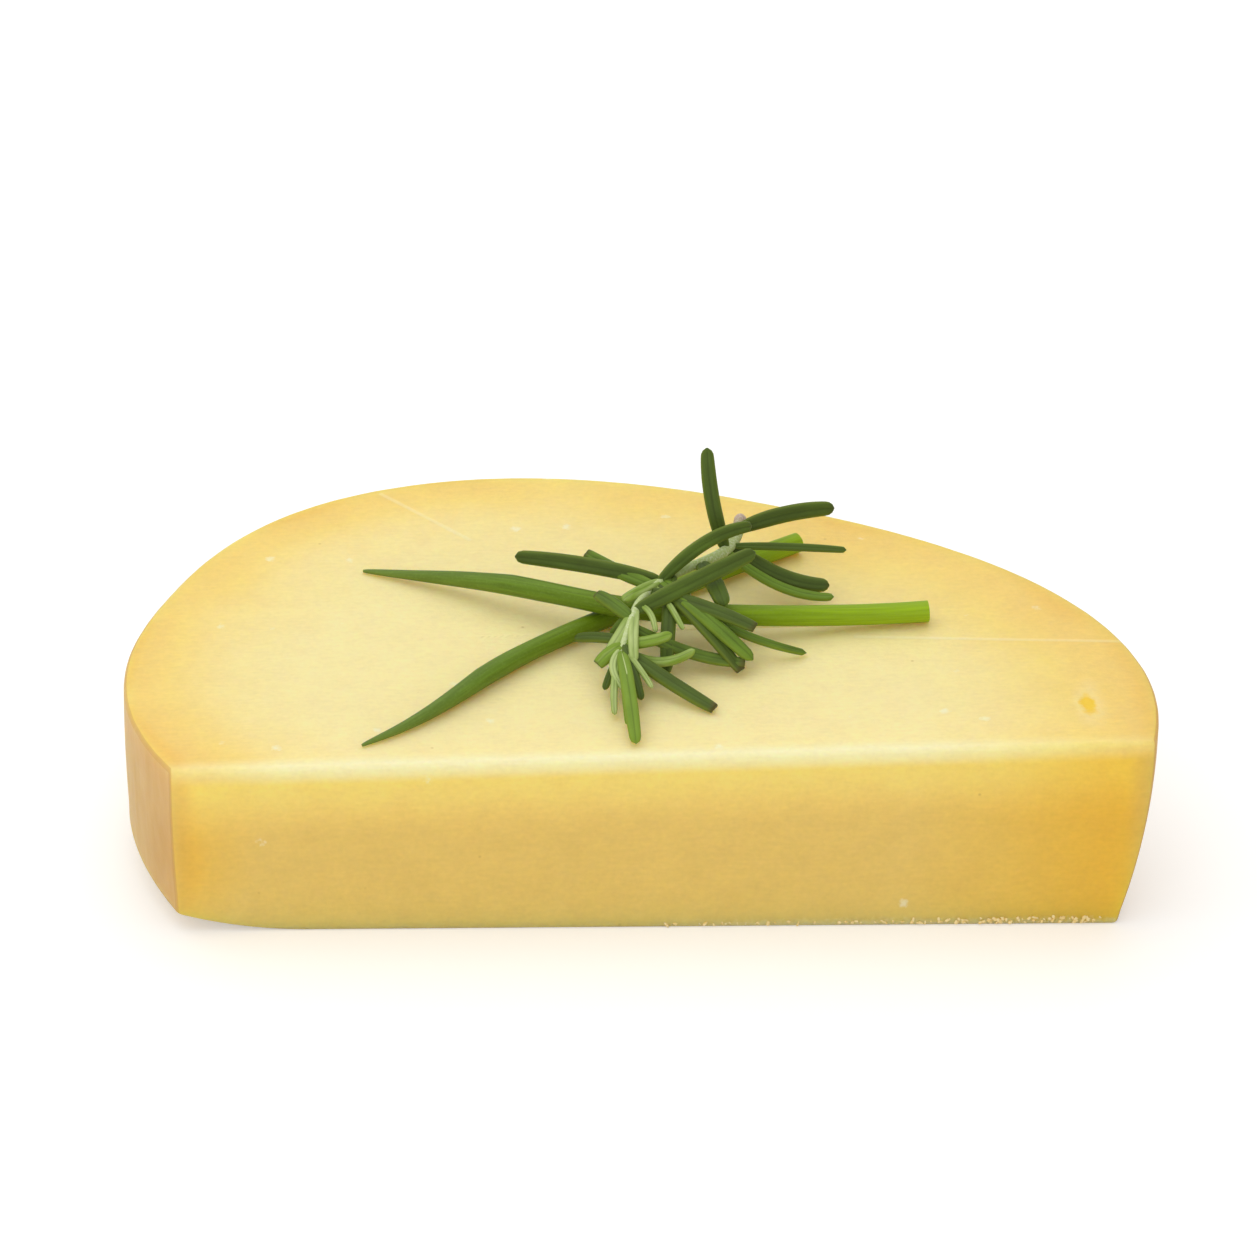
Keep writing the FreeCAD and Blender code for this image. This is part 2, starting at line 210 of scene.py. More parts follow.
def slab_outline(level, front=190, round_back=270, corner=6):
    """The slab from above at a share of its thickness: along the cut, then round the rind."""
    lean = max(0.0, 1 - level) ** 2
    left, right_lean, deep = LEANS["left"] * lean, LEANS["right"] * lean, LEANS["back"] * lean
    turn = np.radians(np.linspace(-90, 270, 1441))
    power = WHEEL_POWER
    along = np.abs(np.cos(turn + WHEEL_TURN)) / WHEEL_HALVES[0]
    across = np.abs(np.sin(turn + WHEEL_TURN)) / WHEEL_HALVES[1]
    radius = (along ** power + across ** power) ** (-1 / power)
    x = radius * np.cos(turn) * (1 - (left + right_lean) / 2 / half_width) + (left - right_lean) / 2
    y = oval_middle + radius * np.sin(turn) * (1 - deep / oval_reach(math.pi / 2))
    behind = np.nonzero(y > -half_depth)[0]
    first, last = behind[0], behind[-1]
    ends = []
    for inside, outside in ((first, first - 1), (last, last + 1)):
        share = (-half_depth - y[outside]) / (y[inside] - y[outside])
        ends.append((x[outside] + share * (x[inside] - x[outside]), -half_depth))
    rind = np.vstack([ends[0], np.column_stack([x, y])[first:last + 1], ends[1]])
    rind = spaced(rind, round_back * 8)
    step = np.linalg.norm(rind[1] - rind[0])
    skip = max(1, round(CORNER_SOFTNESS / step))
    arc = spaced(rind[skip:-skip], round_back)
    cut = np.column_stack([np.linspace(ends[1][0] + CORNER_SOFTNESS, ends[0][0] - CORNER_SOFTNESS, front),
        np.full(front, -half_depth)])
    bend = np.linspace(0, 1, corner + 2)[1:-1, None]
    right_corner = cut[-1] * (1 - bend) ** 2 + np.array(ends[0]) * 2 * bend * (1 - bend) + arc[0] * bend ** 2
    left_corner = arc[-1] * (1 - bend) ** 2 + np.array(ends[1]) * 2 * bend * (1 - bend) + cut[0] * bend ** 2
    skin = np.concatenate([np.zeros(front), bend[:, 0], np.ones(round_back), 1 - bend[:, 0]])
    return np.vstack([cut, right_corner, arc, left_corner]), skin


def inward(line):
    """Unit normals into a closed line that runs round to the left."""
    along = np.roll(line, -1, axis=-2) - np.roll(line, 1, axis=-2)
    normal = np.stack([-along[..., 1], along[..., 0]], axis=-1)
    return normal / np.linalg.norm(normal, axis=-1, keepdims=True)


levels = np.linspace(-0.1, 1.2, 27)
outlines = np.array([slab_outline(level)[0] for level in levels])
skin_round = slab_outline(1.0)[1]
inwards = inward(outlines)
# The rind leans below the top's level and not above it.
TOP_LEVEL = 22


def top_at(x):
    """Height of the sloping top."""
    return THICKNESS + x * TOP_RISE


def foot_at(x):
    """Height of the underside, which rises at the left."""
    over = np.maximum(heel - x, 0)
    return HEEL_RADIUS - np.sqrt(HEEL_RADIUS ** 2 - over ** 2)


def at_level(level, inset):
    """Points round the slab, each at its own level, drawn in by inset."""
    place = np.clip((level - levels[0]) / (levels[1] - levels[0]), 0, len(levels) - 1.001)
    below = place.astype(int)
    share = (place - below)[:, None]
    column = np.arange(len(level))
    point = outlines[below, column] * (1 - share) + outlines[below + 1, column] * share
    normal = inwards[below, column] * (1 - share) + inwards[below + 1, column] * share
    return point + normal * inset


def side_ring(height, inset):
    """One ring of the sides; height(foot, top) says how high each point is."""
    x = outlines[TOP_LEVEL][:, 0]
    for _ in range(3):
        z = height(foot_at(x), top_at(x))
        point = at_level(z / THICKNESS, inset)
        x = point[:, 0]
    return np.column_stack([point, height(foot_at(x), top_at(x))])


# The flat faces are drawn in to a short line, the spine, near their middle.
SPINE_REACH = 34
SPINE_SHARE = 0.62
SPINE_BACK = -6.0
SIDE_RINGS = 44
TOP_RINGS = 56
FOOT_RINGS = 16
ROUNDING = 4
soft = EDGE_SOFTNESS
worn = TOP_SOFTNESS
rings, skins = [], []
for step in range(ROUNDING + 1):
    turn = math.pi / 2 * step / ROUNDING
    drop = soft * (1 - math.sin(turn))
    rise = soft * (1 - math.cos(turn))
    rings.append(side_ring(lambda foot, top, rise=rise: foot + rise, drop))
    skins.append(skin_round * math.sin(turn))
for step in range(1, SIDE_RINGS):
    share = step / SIDE_RINGS
    rings.append(side_ring(lambda foot, top, share=share: foot + soft + share * (top - foot - soft - worn), 0.0))
    skins.append(skin_round)
for step in range(ROUNDING + 1):
    turn = math.pi / 2 * step / ROUNDING
    inset = worn * (1 - math.cos(turn))
    rise = worn * (1 - math.sin(turn))
    rings.append(side_ring(lambda foot, top, rise=rise: top - rise, inset))
    skins.append(skin_round * math.cos(turn))


def face_rings(edge, count, height):
    """Rings from an edge in to the middle of a flat face."""
    spine = np.column_stack([np.clip(edge[:, 0] * SPINE_SHARE, -SPINE_REACH, SPINE_REACH),
        np.full(len(edge), SPINE_BACK)])
    made = []
    for step in range(1, count + 1):
        share = 0.985 * (step / count) ** 1.25
        point = edge[:, :2] * (1 - share) + spine * share
        made.append(np.column_stack([point, height(point[:, 0])]))
    return made


top_rings = face_rings(rings[-1], TOP_RINGS, top_at)
foot_rings = face_rings(rings[0], FOOT_RINGS, foot_at)
rings = foot_rings[::-1] + rings + top_rings
skins = [skin_round * 0] * FOOT_RINGS + skins + [skin_round * 0] * TOP_RINGS
around = len(skin_round)
points = np.vstack(rings)
skin = np.concatenate(skins)
faces = []
for ring in range(len(rings) - 1):
    for column in range(around):
        beside = (column + 1) % around
        faces.append((ring * around + column, ring * around + beside, (ring + 1) * around + beside,
            (ring + 1) * around + column))
faces.append(tuple(range(around - 1, -1, -1)))
faces.append(tuple(range((len(rings) - 1) * around, len(rings) * around)))

# How far each point lies from the rind, the top and the foot, in millimetres.
rind_line = outlines[TOP_LEVEL][skin_round > 0.99]
from_rind = np.empty(len(points))
for start in range(0, len(points), 4000):
    part = points[start:start + 4000, None, :2] - rind_line[None]
    from_rind[start:start + 4000] = np.sqrt((part ** 2).sum(axis=2)).min(axis=1)
below_top = np.maximum(top_at(points[:, 0]) - points[:, 2], 0)
above_foot = np.maximum(points[:, 2] - foot_at(points[:, 0]), 0)

# No face is true: the rind is drawn in and puckered, and the blade wandered.
skin_share = np.tile(skin_round, len(rings))
fades = [(step / FOOT_RINGS) ** 6 for step in range(FOOT_RINGS)] + [1.0] * (len(rings) - FOOT_RINGS - TOP_RINGS)
fades += [(1 - step / TOP_RINGS) ** 6 for step in range(1, TOP_RINGS + 1)]
fade = np.repeat(fades, around)
pucker = np.array([noise.noise(Vector((x / 26, y / 26, z / 40)))
    + 0.3 * noise.noise(Vector((x / 3.5, y / 3.5, z / 30))) for x, y, z in points])
wandering = np.array([noise.noise(Vector((x / 22 + 9, y / 13, z / 13))) for x, y, z in points])
sides = inwards[TOP_LEVEL][np.arange(len(points)) % around]
on_top_face = np.clip(1 - below_top / worn, 0, 1) * np.clip(above_foot - 5, 0, 1)
drawn_in = skin_share * RIND_WAVE * (0.5 + 0.5 * pucker) + (1 - skin_share) * CUT_WAVE * (0.5 + 0.5 * wandering)
drawn_in = np.clip(drawn_in, 0, None) * fade * np.clip(above_foot / 3, 0, 1)
before = top_at(points[:, 0])
points[:, :2] += sides * drawn_in[:, None]
points[:, 2] += on_top_face * (top_at(points[:, 0]) - before)

# Stretched curd: close, moist and a little see-through, so light soaks into it
# and its edges glow. Paler at the heart, and yellow to amber towards the smoked
# rind, with the blade's marks and a few torn flecks. The skin is leathery and dull.
HEART_COLOURS = ((0.0, "#EFC565"), (0.05, "#F2CF72"), (0.22, "#F6D97C"), (0.45, "#FCE297"), (0.8, "#FFE7A4"))
# The glow and cut ramps are the curd's colours with light painted in: a brighter yellow glow just under the cut's top
# edge, and a deeper yellow lower on the cut face as painted shade.
PAINTED_GLOW_COLOURS = ((0.0, "#F3D04A"), (0.12, "#F9D252"), (0.42, "#FFDF74"), (0.8, "#FFE07C"))
CUT_SHADE_COLOURS = ((0.0, "#EDC243"), (0.12, "#F0C142"), (0.42, "#EFC95F"), (0.8, "#EDCC70"))
SKIN_COLOURS = ((0.25, "#DAAD68"), (0.5, "#E6C07F"), (0.75, "#EED092"))
AMBER = "#DDAB58"
EDGE_PALE = "#FFF4D2"
FLECK = "#FFF6D6"
SPECK = "#B68F3E"
NICK = "#F9CC30"
RIM_TAN = "#D9B268"
TORN = "#F8DE92"
SKIN_EDGE = "#BF8E44"
# The nick: where its torn outline and its dent lie, and how much it is drawn out.
NICK_PLACE = (73.5, -30.3)
NICK_DENT_PLACE = (71.7, -33.2)
NICK_SHAPE = (1.0, 0.38, 0.0)
# Marks of the blade on the top: where each starts, its heading and its length.
SCORES = ((35.6, -10.2, -5.2, 44.5), (-39.4, 41.4, -49.0, 22.0))

cheese, tree = new_material("smoked_stretched_curd")
place = add(tree, "ShaderNodeTexCoord").outputs["Object"]
split = add(tree, "ShaderNodeSeparateXYZ", feeds={0: place})
inside = add(tree, "ShaderNodeAttribute", {"attribute_name": "from_rind"}).outputs["Fac"]
rind = add(tree, "ShaderNodeAttribute", {"attribute_name": "skin"}).outputs["Fac"]
below = add(tree, "ShaderNodeAttribute", {"attribute_name": "below_top"}).outputs["Fac"]
above = add(tree, "ShaderNodeAttribute", {"attribute_name": "above_foot"}).outputs["Fac"]
drawn = add(tree, "ShaderNodeMapping", feeds={0: place, "Scale": (0.3, 1.0, 1.0)})
upright = add(tree, "ShaderNodeMapping", feeds={0: place, "Scale": (1.0, 1.0, 0.3)})
broad_lumps = add(tree, "ShaderNodeTexNoise", feeds={"Vector": place, "Scale": 1 / (26 * MM), "Detail": 1.0})
mottle = add(tree, "ShaderNodeTexNoise", feeds={"Vector": place, "Scale": 1 / (5 * MM), "Detail": 2.0})
curd_grain = add(tree, "ShaderNodeTexNoise",
    feeds={"Vector": place, "Scale": 1 / (0.9 * MM), "Detail": 2.0, "Roughness": 0.6})
blade_grain = add(tree, "ShaderNodeTexNoise", feeds={"Vector": drawn, "Scale": 1 / (0.7 * MM), "Detail": 1.0})
puckers = add(tree, "ShaderNodeTexNoise", feeds={"Vector": upright, "Scale": 1 / (2.2 * MM), "Detail": 2.0})

# How deep the smoke has coloured it, less at the right.
uneven = add(tree, "ShaderNodeMath", {"operation": "MULTIPLY_ADD"}, {0: broad_lumps, 1: 14.0, 2: -7.0})
deep = add(tree, "ShaderNodeMath", feeds={0: inside, 1: uneven})
less = add(tree, "ShaderNodeMapRange", feeds={0: split.outputs["X"], 1: -0.01, 2: 0.07, 3: 1 / 38, 4: 1 / 62})
deep = add(tree, "ShaderNodeMath", {"operation": "MULTIPLY"}, {0: deep, 1: less})
heart = add(tree, "ShaderNodeValToRGB", feeds={0: deep}, stops=HEART_COLOURS)
# On the cut face the colour is painted for light: a brighter yellow glow band just under the top edge, where light from
# the lit top soaks through, and lower down a deeper, more saturated yellow as painted shade of the front.
less = add(tree, "ShaderNodeMapRange", feeds={0: split.outputs["X"], 1: -0.08, 2: 0.075, 3: 1.9, 4: 0.8})
paler = add(tree, "ShaderNodeMapRange", feeds={0: split.outputs["X"], 1: -0.08, 2: -0.04, 3: 0.35, 4: 0.0})
deep_in_cut = add(tree, "ShaderNodeMath", {"operation": "MULTIPLY_ADD"}, {0: deep, 1: less, 2: paler})
cut = add(tree, "ShaderNodeValToRGB", feeds={0: deep_in_cut}, stops=CUT_SHADE_COLOURS)
glow = add(tree, "ShaderNodeValToRGB", feeds={0: deep_in_cut}, stops=PAINTED_GLOW_COLOURS)
under_edge = add(tree, "ShaderNodeMapRange", {"interpolation_type": "SMOOTHSTEP"}, {0: below, 1: 1.1, 2: 3.6})
tone = add(tree, "ShaderNodeMix", {"data_type": "RGBA"}, {0: under_edge, 6: heart, 7: glow}).outputs[2]
past_glow = add(tree, "ShaderNodeMapRange", {"interpolation_type": "SMOOTHSTEP"}, {0: below, 1: 4.0, 2: 14.0})
tone = add(tree, "ShaderNodeMix", {"data_type": "RGBA"}, {0: past_glow, 6: tone, 7: cut}).outputs[2]

# The curd just inside the rind has dried, so the ends of the cut are tan.
dried = add(tree, "ShaderNodeMapRange", {"interpolation_type": "SMOOTHSTEP"},
    {0: inside, 1: 0.6, 2: 5.0, 3: 0.6, 4: 0.0})
dried = add(tree, "ShaderNodeMath", {"operation": "MULTIPLY"}, {0: dried, 1: under_edge})
tone = add(tree, "ShaderNodeMix", {"data_type": "RGBA"}, {0: dried, 6: tone, 7: colour(RIM_TAN)}).outputs[2]

# A pale band along the front edge, where light comes through from both sides.
off_edge = add(tree, "ShaderNodeMath", {"operation": "MULTIPLY_ADD"}, {0: split.outputs["Y"], 1: 1 / MM, 2: half_depth})
off_edge = add(tree, "ShaderNodeMath", feeds={0: off_edge, 1: below})
by_edge = add(tree, "ShaderNodeMapRange", {"interpolation_type": "SMOOTHSTEP"},
    {0: off_edge, 1: 0.6, 2: 3.6, 3: 1.0, 4: 0.0})
by_heart = add(tree, "ShaderNodeMapRange", feeds={0: deep_in_cut, 1: 0.15, 2: 0.75, 3: 0.1, 4: 0.42})
by_edge = add(tree, "ShaderNodeMath", {"operation": "MULTIPLY"}, {0: by_edge, 1: by_heart})
tone = add(tree, "ShaderNodeMix", {"data_type": "RGBA"}, {0: by_edge, 6: tone, 7: colour(EDGE_PALE)}).outputs[2]

# Mottles, curd grain and the blade's fine drawn grain, each only just seen.
light = add(tree, "ShaderNodeMapRange", feeds={0: mottle, 1: 0.3, 2: 0.7, 3: 0.975, 4: 1.02})
for grain, least, most in ((curd_grain, 0.975, 1.022), (blade_grain, 0.98, 1.015)):
    shade = add(tree, "ShaderNodeMapRange", feeds={0: grain, 1: 0.3, 2: 0.7, 3: least, 4: most})
    light = add(tree, "ShaderNodeMath", {"operation": "MULTIPLY"}, {0: light, 1: shade})
tone = add(tree, "ShaderNodeMix", {"data_type": "RGBA", "blend_type": "MULTIPLY"},
    {0: 1.0, 6: tone, 7: light}).outputs[2]

# Torn flecks about 12 mm apart and dark specks about 9 mm apart, each under a millimetre.
ragged = add(tree, "ShaderNodeVectorMath", {"operation": "MULTIPLY_ADD"},
    {0: curd_grain.outputs[1], 1: (1.6 * MM,) * 3, 2: place})
flecks = add(tree, "ShaderNodeTexVoronoi", feeds={"Vector": ragged, "Scale": 1 / (12 * MM)}).outputs["Distance"]
flecks = add(tree, "ShaderNodeMapRange", feeds={0: flecks, 1: 0.03, 2: 0.085, 3: 0.6, 4: 0.0})
tone = add(tree, "ShaderNodeMix", {"data_type": "RGBA"}, {0: flecks, 6: tone, 7: colour(FLECK)}).outputs[2]
specks = add(tree, "ShaderNodeTexVoronoi", feeds={"Vector": place, "Scale": 1 / (9 * MM)}).outputs["Distance"]
specks = add(tree, "ShaderNodeMapRange", feeds={0: specks, 1: 0.01, 2: 0.04, 3: 0.4, 4: 0.0})
tone = add(tree, "ShaderNodeMix", {"data_type": "RGBA"}, {0: specks, 6: tone, 7: colour(SPECK)}).outputs[2]

# The blade's marks on the top: pale thin lines, cut a hair deep.
marks = 0.0
for start_across, start_back, heading, length in SCORES:
    start = (start_across * MM, start_back * MM, 0.0)
    line = add(tree, "ShaderNodeMapping", {"vector_type": "TEXTURE"},
        {0: place, "Location": start, "Rotation": (0, 0, math.radians(heading))})
    line = add(tree, "ShaderNodeSeparateXYZ", feeds={0: line})
    off = add(tree, "ShaderNodeMath", {"operation": "ABSOLUTE"}, {0: line.outputs["Y"]})
    thin = add(tree, "ShaderNodeMapRange", {"interpolation_type": "SMOOTHSTEP"},
        {0: off, 1: 0.15 * MM, 2: 0.6 * MM, 3: 1.0, 4: 0.0})
    off = add(tree, "ShaderNodeMath", {"operation": "COMPARE"},
        {0: line.outputs["X"], 1: length / 2 * MM, 2: length / 2 * MM})
    thin = add(tree, "ShaderNodeMath", {"operation": "MULTIPLY"}, {0: thin, 1: off})
    marks = add(tree, "ShaderNodeMath", {"operation": "MAXIMUM"}, {0: marks, 1: thin})
faint = add(tree, "ShaderNodeMapRange", feeds={0: below, 1: 0.5, 2: 1.2, 3: 1.0, 4: 0.0})
marks = add(tree, "ShaderNodeMath", {"operation": "MULTIPLY"}, {0: marks, 1: faint})
shown_marks = add(tree, "ShaderNodeMath", {"operation": "MULTIPLY"}, {0: marks, 1: 0.2})
tone = add(tree, "ShaderNodeMix", {"data_type": "RGBA"}, {0: shown_marks, 6: tone, 7: colour(FLECK)}).outputs[2]

# A yellow nick near the front right corner, about three millimetres across and
# eight long, with a torn outline and a faint pale rim.
torn_far = add(tree, "ShaderNodeVectorMath", {"operation": "MULTIPLY_ADD"},
    {0: mottle.outputs[1], 1: (2 * MM, 5 * MM, 0), 2: ragged})
near = add(tree, "ShaderNodeVectorMath", feeds={0: torn_far, 1: (-NICK_PLACE[0] * MM, -NICK_PLACE[1] * MM, 0)})
near = add(tree, "ShaderNodeVectorMath", {"operation": "MULTIPLY"}, {0: near, 1: NICK_SHAPE})
near = add(tree, "ShaderNodeVectorMath", {"operation": "LENGTH"}, {0: near}).outputs["Value"]
nick = add(tree, "ShaderNodeMapRange", {"interpolation_type": "SMOOTHSTEP"},
    {0: near, 1: 0.8 * MM, 2: 1.8 * MM, 3: 0.95, 4: 0.0})
nick_rim = add(tree, "ShaderNodeMapRange", {"interpolation_type": "SMOOTHSTEP"},
    {0: near, 1: 1.2 * MM, 2: 3.6 * MM, 3: 0.14, 4: 0.0})
tone = add(tree, "ShaderNodeMix", {"data_type": "RGBA"}, {0: nick_rim, 6: tone, 7: colour(FLECK)}).outputs[2]
tone = add(tree, "ShaderNodeMix", {"data_type": "RGBA"}, {0: nick, 6: tone, 7: colour(NICK)}).outputs[2]

# Where the blade tore through at the bottom of the cut, the curd is ragged and pale.
torn = add(tree, "ShaderNodeMath", {"operation": "MULTIPLY_ADD"}, {0: curd_grain, 1: -2.4, 2: above})
torn = add(tree, "ShaderNodeMapRange", feeds={0: torn, 1: -0.5, 2: 0.4, 3: 0.6, 4: 0.0})
to_right = add(tree, "ShaderNodeMapRange", feeds={0: split.outputs["X"], 1: 0.0, 2: 0.02})
torn = add(tree, "ShaderNodeMath", {"operation": "MULTIPLY"}, {0: torn, 1: to_right})
tone = add(tree, "ShaderNodeMix", {"data_type": "RGBA"}, {0: torn, 6: tone, 7: colour(TORN)}).outputs[2]

# The skin, tan at the left and more amber round the back and right, dark at its edge.
skin_light = add(tree, "ShaderNodeMix", {"data_type": "FLOAT"}, {0: 0.25, 2: broad_lumps, 3: puckers})
skin_tone = add(tree, "ShaderNodeValToRGB", feeds={0: skin_light}, stops=SKIN_COLOURS)
riper = add(tree, "ShaderNodeMapRange", feeds={0: split.outputs["X"], 1: -0.06, 2: 0.02, 3: 0.0, 4: 0.7})
skin_tone = add(tree, "ShaderNodeMix", {"data_type": "RGBA"}, {0: riper, 6: skin_tone, 7: colour(AMBER)})
edge = add(tree, "ShaderNodeMath", {"operation": "COMPARE"}, {0: rind, 1: 0.7, 2: 0.29})
edge = add(tree, "ShaderNodeMath", {"operation": "MULTIPLY"}, {0: edge, 1: 0.4})
skinned = add(tree, "ShaderNodeMapRange", {"interpolation_type": "SMOOTHSTEP"}, {0: rind, 1: 0.3, 2: 0.75})
tone = add(tree, "ShaderNodeMix", {"data_type": "RGBA"}, {0: skinned, 6: tone, 7: skin_tone.outputs[2]}).outputs[2]
tone = add(tree, "ShaderNodeMix", {"data_type": "RGBA"}, {0: edge, 6: tone, 7: colour(SKIN_EDGE)}).outputs[2]

# The relief: curd grain, blade marks, the nick's smooth dent, the drawn grain, and
# broad lumps. The rind has its puckers on top of it.
dents = add(tree, "ShaderNodeMath", {"operation": "MULTIPLY_ADD"}, {0: marks, 1: -0.7, 2: curd_grain})
pit = add(tree, "ShaderNodeVectorMath",
    feeds={0: place, 1: (-NICK_DENT_PLACE[0] * MM, -NICK_DENT_PLACE[1] * MM, 0)})
pit = add(tree, "ShaderNodeVectorMath", {"operation": "MULTIPLY"}, {0: pit, 1: NICK_SHAPE})
pit = add(tree, "ShaderNodeVectorMath", {"operation": "LENGTH"}, {0: pit}).outputs["Value"]
pit = add(tree, "ShaderNodeMapRange", {"interpolation_type": "SMOOTHSTEP"},
    {0: pit, 1: 0.6 * MM, 2: 1.9 * MM, 3: -2.5, 4: 0.0})
dents = add(tree, "ShaderNodeMath", feeds={0: dents, 1: pit})
dents = add(tree, "ShaderNodeMath", {"operation": "MULTIPLY_ADD"}, {0: blade_grain, 1: 0.5, 2: dents})
dents = add(tree, "ShaderNodeMath", {"operation": "MULTIPLY_ADD"}, {0: broad_lumps, 1: 4.0, 2: dents})
cut_bump = add(tree, "ShaderNodeBump", feeds={"Strength": 0.6, "Distance": 0.1 * MM, "Height": dents})
skin_bump = add(tree, "ShaderNodeBump",
    feeds={"Strength": rind, "Distance": 0.15 * MM, "Height": puckers, "Normal": cut_bump})
dull = add(tree, "ShaderNodeMapRange", feeds={0: mottle, 1: 0.3, 2: 0.7, 3: 0.42, 4: 0.56})
body = add(tree, "ShaderNodeBsdfPrincipled", {"subsurface_method": "RANDOM_WALK"}, {
    "Base Color": tone,
    "Roughness": dull,
    "IOR": 1.45,
    "Specular IOR Level": 0.4,
    "Subsurface Weight": 0.8,
    "Subsurface Radius": (1.0, 0.8, 0.3),
    "Subsurface Scale": 0.008,
    "Normal": skin_bump,
})
add(tree, "ShaderNodeOutputMaterial", feeds={"Surface": body})


def with_values(piece, **values):
    """Give a mesh named values at its points, for its material to read."""
    for name, numbers in values.items():
        numbers = np.asarray(numbers, dtype=np.float32)
        kind, field = ("FLOAT", "value") if numbers.ndim == 1 else ("FLOAT_VECTOR", "vector")
        piece.data.attributes.new(name, kind, "POINT").data.foreach_set(field, numbers.ravel())


slab = shown("smoked_provolone", (points * MM).tolist(), faces, cheese)
with_values(slab, from_rind=from_rind, skin=skin, below_top=below_top, above_foot=above_foot)
shape = bmesh.new()
shape.from_mesh(slab.data)
bmesh.ops.triangulate(shape, faces=[face for face in shape.faces if len(face.verts) > 4])
shape.to_mesh(slab.data)
shape.free()
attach(slab, "root")
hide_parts("smoked_cheese_slab")

# ---- The torn crumbs ------------------------------------------------------
# Small crumbs of curd, under a millimetre, that the blade tore loose along the
# bottom of the cut. They cling there, thickest towards the right.

CRUMB_RUN = (2.0, 74.0)
CRUMB_BAND = (0.5, 1.5)
CRUMB_SIZE = (0.35, 0.85)
CRUMBS_PER_MM = 2.5


def new_recipe(name, sizes):
    """An empty Geometry Nodes tree with a named input for each size."""
    tree = bpy.data.node_groups.new(name, "GeometryNodeTree")
    tree.interface.new_socket("Geometry", in_out="INPUT", socket_type="NodeSocketGeometry")
    for size, value in sizes.items():
        kind = "NodeSocketInt" if isinstance(value, int) else "NodeSocketFloat"
        tree.interface.new_socket(size, in_out="INPUT", socket_type=kind).default_value = value
    tree.interface.new_socket("Geometry", in_out="OUTPUT", socket_type="NodeSocketGeometry")
    return tree, add(tree, "NodeGroupInput").outputs


def made_by(tree, name, points, edges, faces, sizes, values):
    """The plain mesh that a recipe makes from a few points, with its sizes set."""
    mesh = bpy.data.meshes.new(name + "_plan")
    mesh.from_pydata(points, edges, faces)
    plan = bpy.data.objects.new(name + "_plan", mesh)
    bpy.context.scene.collection.objects.link(plan)
    with_values(plan, **values)
    recipe = plan.modifiers.new(name, "NODES")
    recipe.node_group = tree
    for socket in tree.interface.items_tree:
        if socket.in_out == "INPUT" and socket.name in sizes:
            recipe[socket.identifier] = sizes[socket.name]
    graph = bpy.context.evaluated_depsgraph_get()
    result = bpy.data.meshes.new_from_object(plan.evaluated_get(graph), preserve_all_data_layers=True, depsgraph=graph)
    result.name = name
    bpy.data.objects.remove(plan)
    piece = bpy.data.objects.new(name, result)
    bpy.context.scene.collection.objects.link(piece)
    return piece


# Torn curd: the same cheese, but rough and broken, so it looks paler and dull.
TORN_COLOURS = ((0.3, "#F0CC78"), (0.6, "#FCE8AE"))
torn_curd, tree = new_material("torn_curd")
place = add(tree, "ShaderNodeTexCoord").outputs["Object"]
lumps = add(tree, "ShaderNodeTexNoise", feeds={"Vector": place, "Scale": 1 / (0.6 * MM), "Detail": 3.0})
tone = add(tree, "ShaderNodeValToRGB", feeds={0: lumps}, stops=TORN_COLOURS)
rough = add(tree, "ShaderNodeBump", feeds={"Strength": 0.6, "Distance": 0.1 * MM, "Height": lumps})
body = add(tree, "ShaderNodeBsdfPrincipled", feeds={
    "Base Color": tone,
    "Roughness": 0.65,
    "IOR": 1.45,
    "Specular IOR Level": 0.3,
    "Normal": rough,
})
add(tree, "ShaderNodeOutputMaterial", feeds={"Surface": body})

tree, size = new_recipe("scattered_crumbs", {"Least": 0.0, "Most": 0.0, "Density": 0.0, "Seed": 1})
scatter = add(tree, "GeometryNodeDistributePointsOnFaces",
    feeds={"Mesh": size["Geometry"], "Density": size["Density"], "Seed": size["Seed"]})
crumb = add(tree, "GeometryNodeMeshIcoSphere", feeds={"Radius": 0.5, "Subdivisions": 2})
across = add(tree, "FunctionNodeRandomValue", {"data_type": "FLOAT"},
    {2: size["Least"], 3: size["Most"], "Seed": size["Seed"]}).outputs[1]
squash = add(tree, "FunctionNodeRandomValue", {"data_type": "FLOAT_VECTOR"},
    {0: (0.8, 0.45, 0.4), 1: (1.5, 0.9, 0.9), "Seed": size["Seed"]})
scale = add(tree, "ShaderNodeVectorMath", {"operation": "SCALE"}, {0: squash, "Scale": across})
turned = add(tree, "FunctionNodeRandomValue", {"data_type": "FLOAT_VECTOR"},
    {0: (0.0, 0.0, 0.0), 1: (0.5, 6.28, 0.5), "Seed": size["Seed"]})
crumb = add(tree, "GeometryNodeInstanceOnPoints",
    feeds={"Points": scatter, "Instance": crumb, "Rotation": turned, "Scale": scale})
crumb = add(tree, "GeometryNodeRealizeInstances", feeds={0: crumb})
lumps = add(tree, "ShaderNodeTexNoise", feeds={"Scale": 1 / (0.5 * MM), "Detail": 1.0}).outputs[1]
lumps = add(tree, "ShaderNodeVectorMath", {"operation": "MULTIPLY_ADD"},
    {0: lumps, 1: (0.3 * MM,) * 3, 2: (-0.15 * MM,) * 3})
crumb = add(tree, "GeometryNodeSetPosition", feeds={"Geometry": crumb, "Offset": lumps})
crumb = add(tree, "GeometryNodeSetShadeSmooth", feeds={0: crumb})
crumb = add(tree, "GeometryNodeSetMaterial", feeds={"Geometry": crumb, "Material": torn_curd})
add(tree, "NodeGroupOutput", feeds={0: crumb})

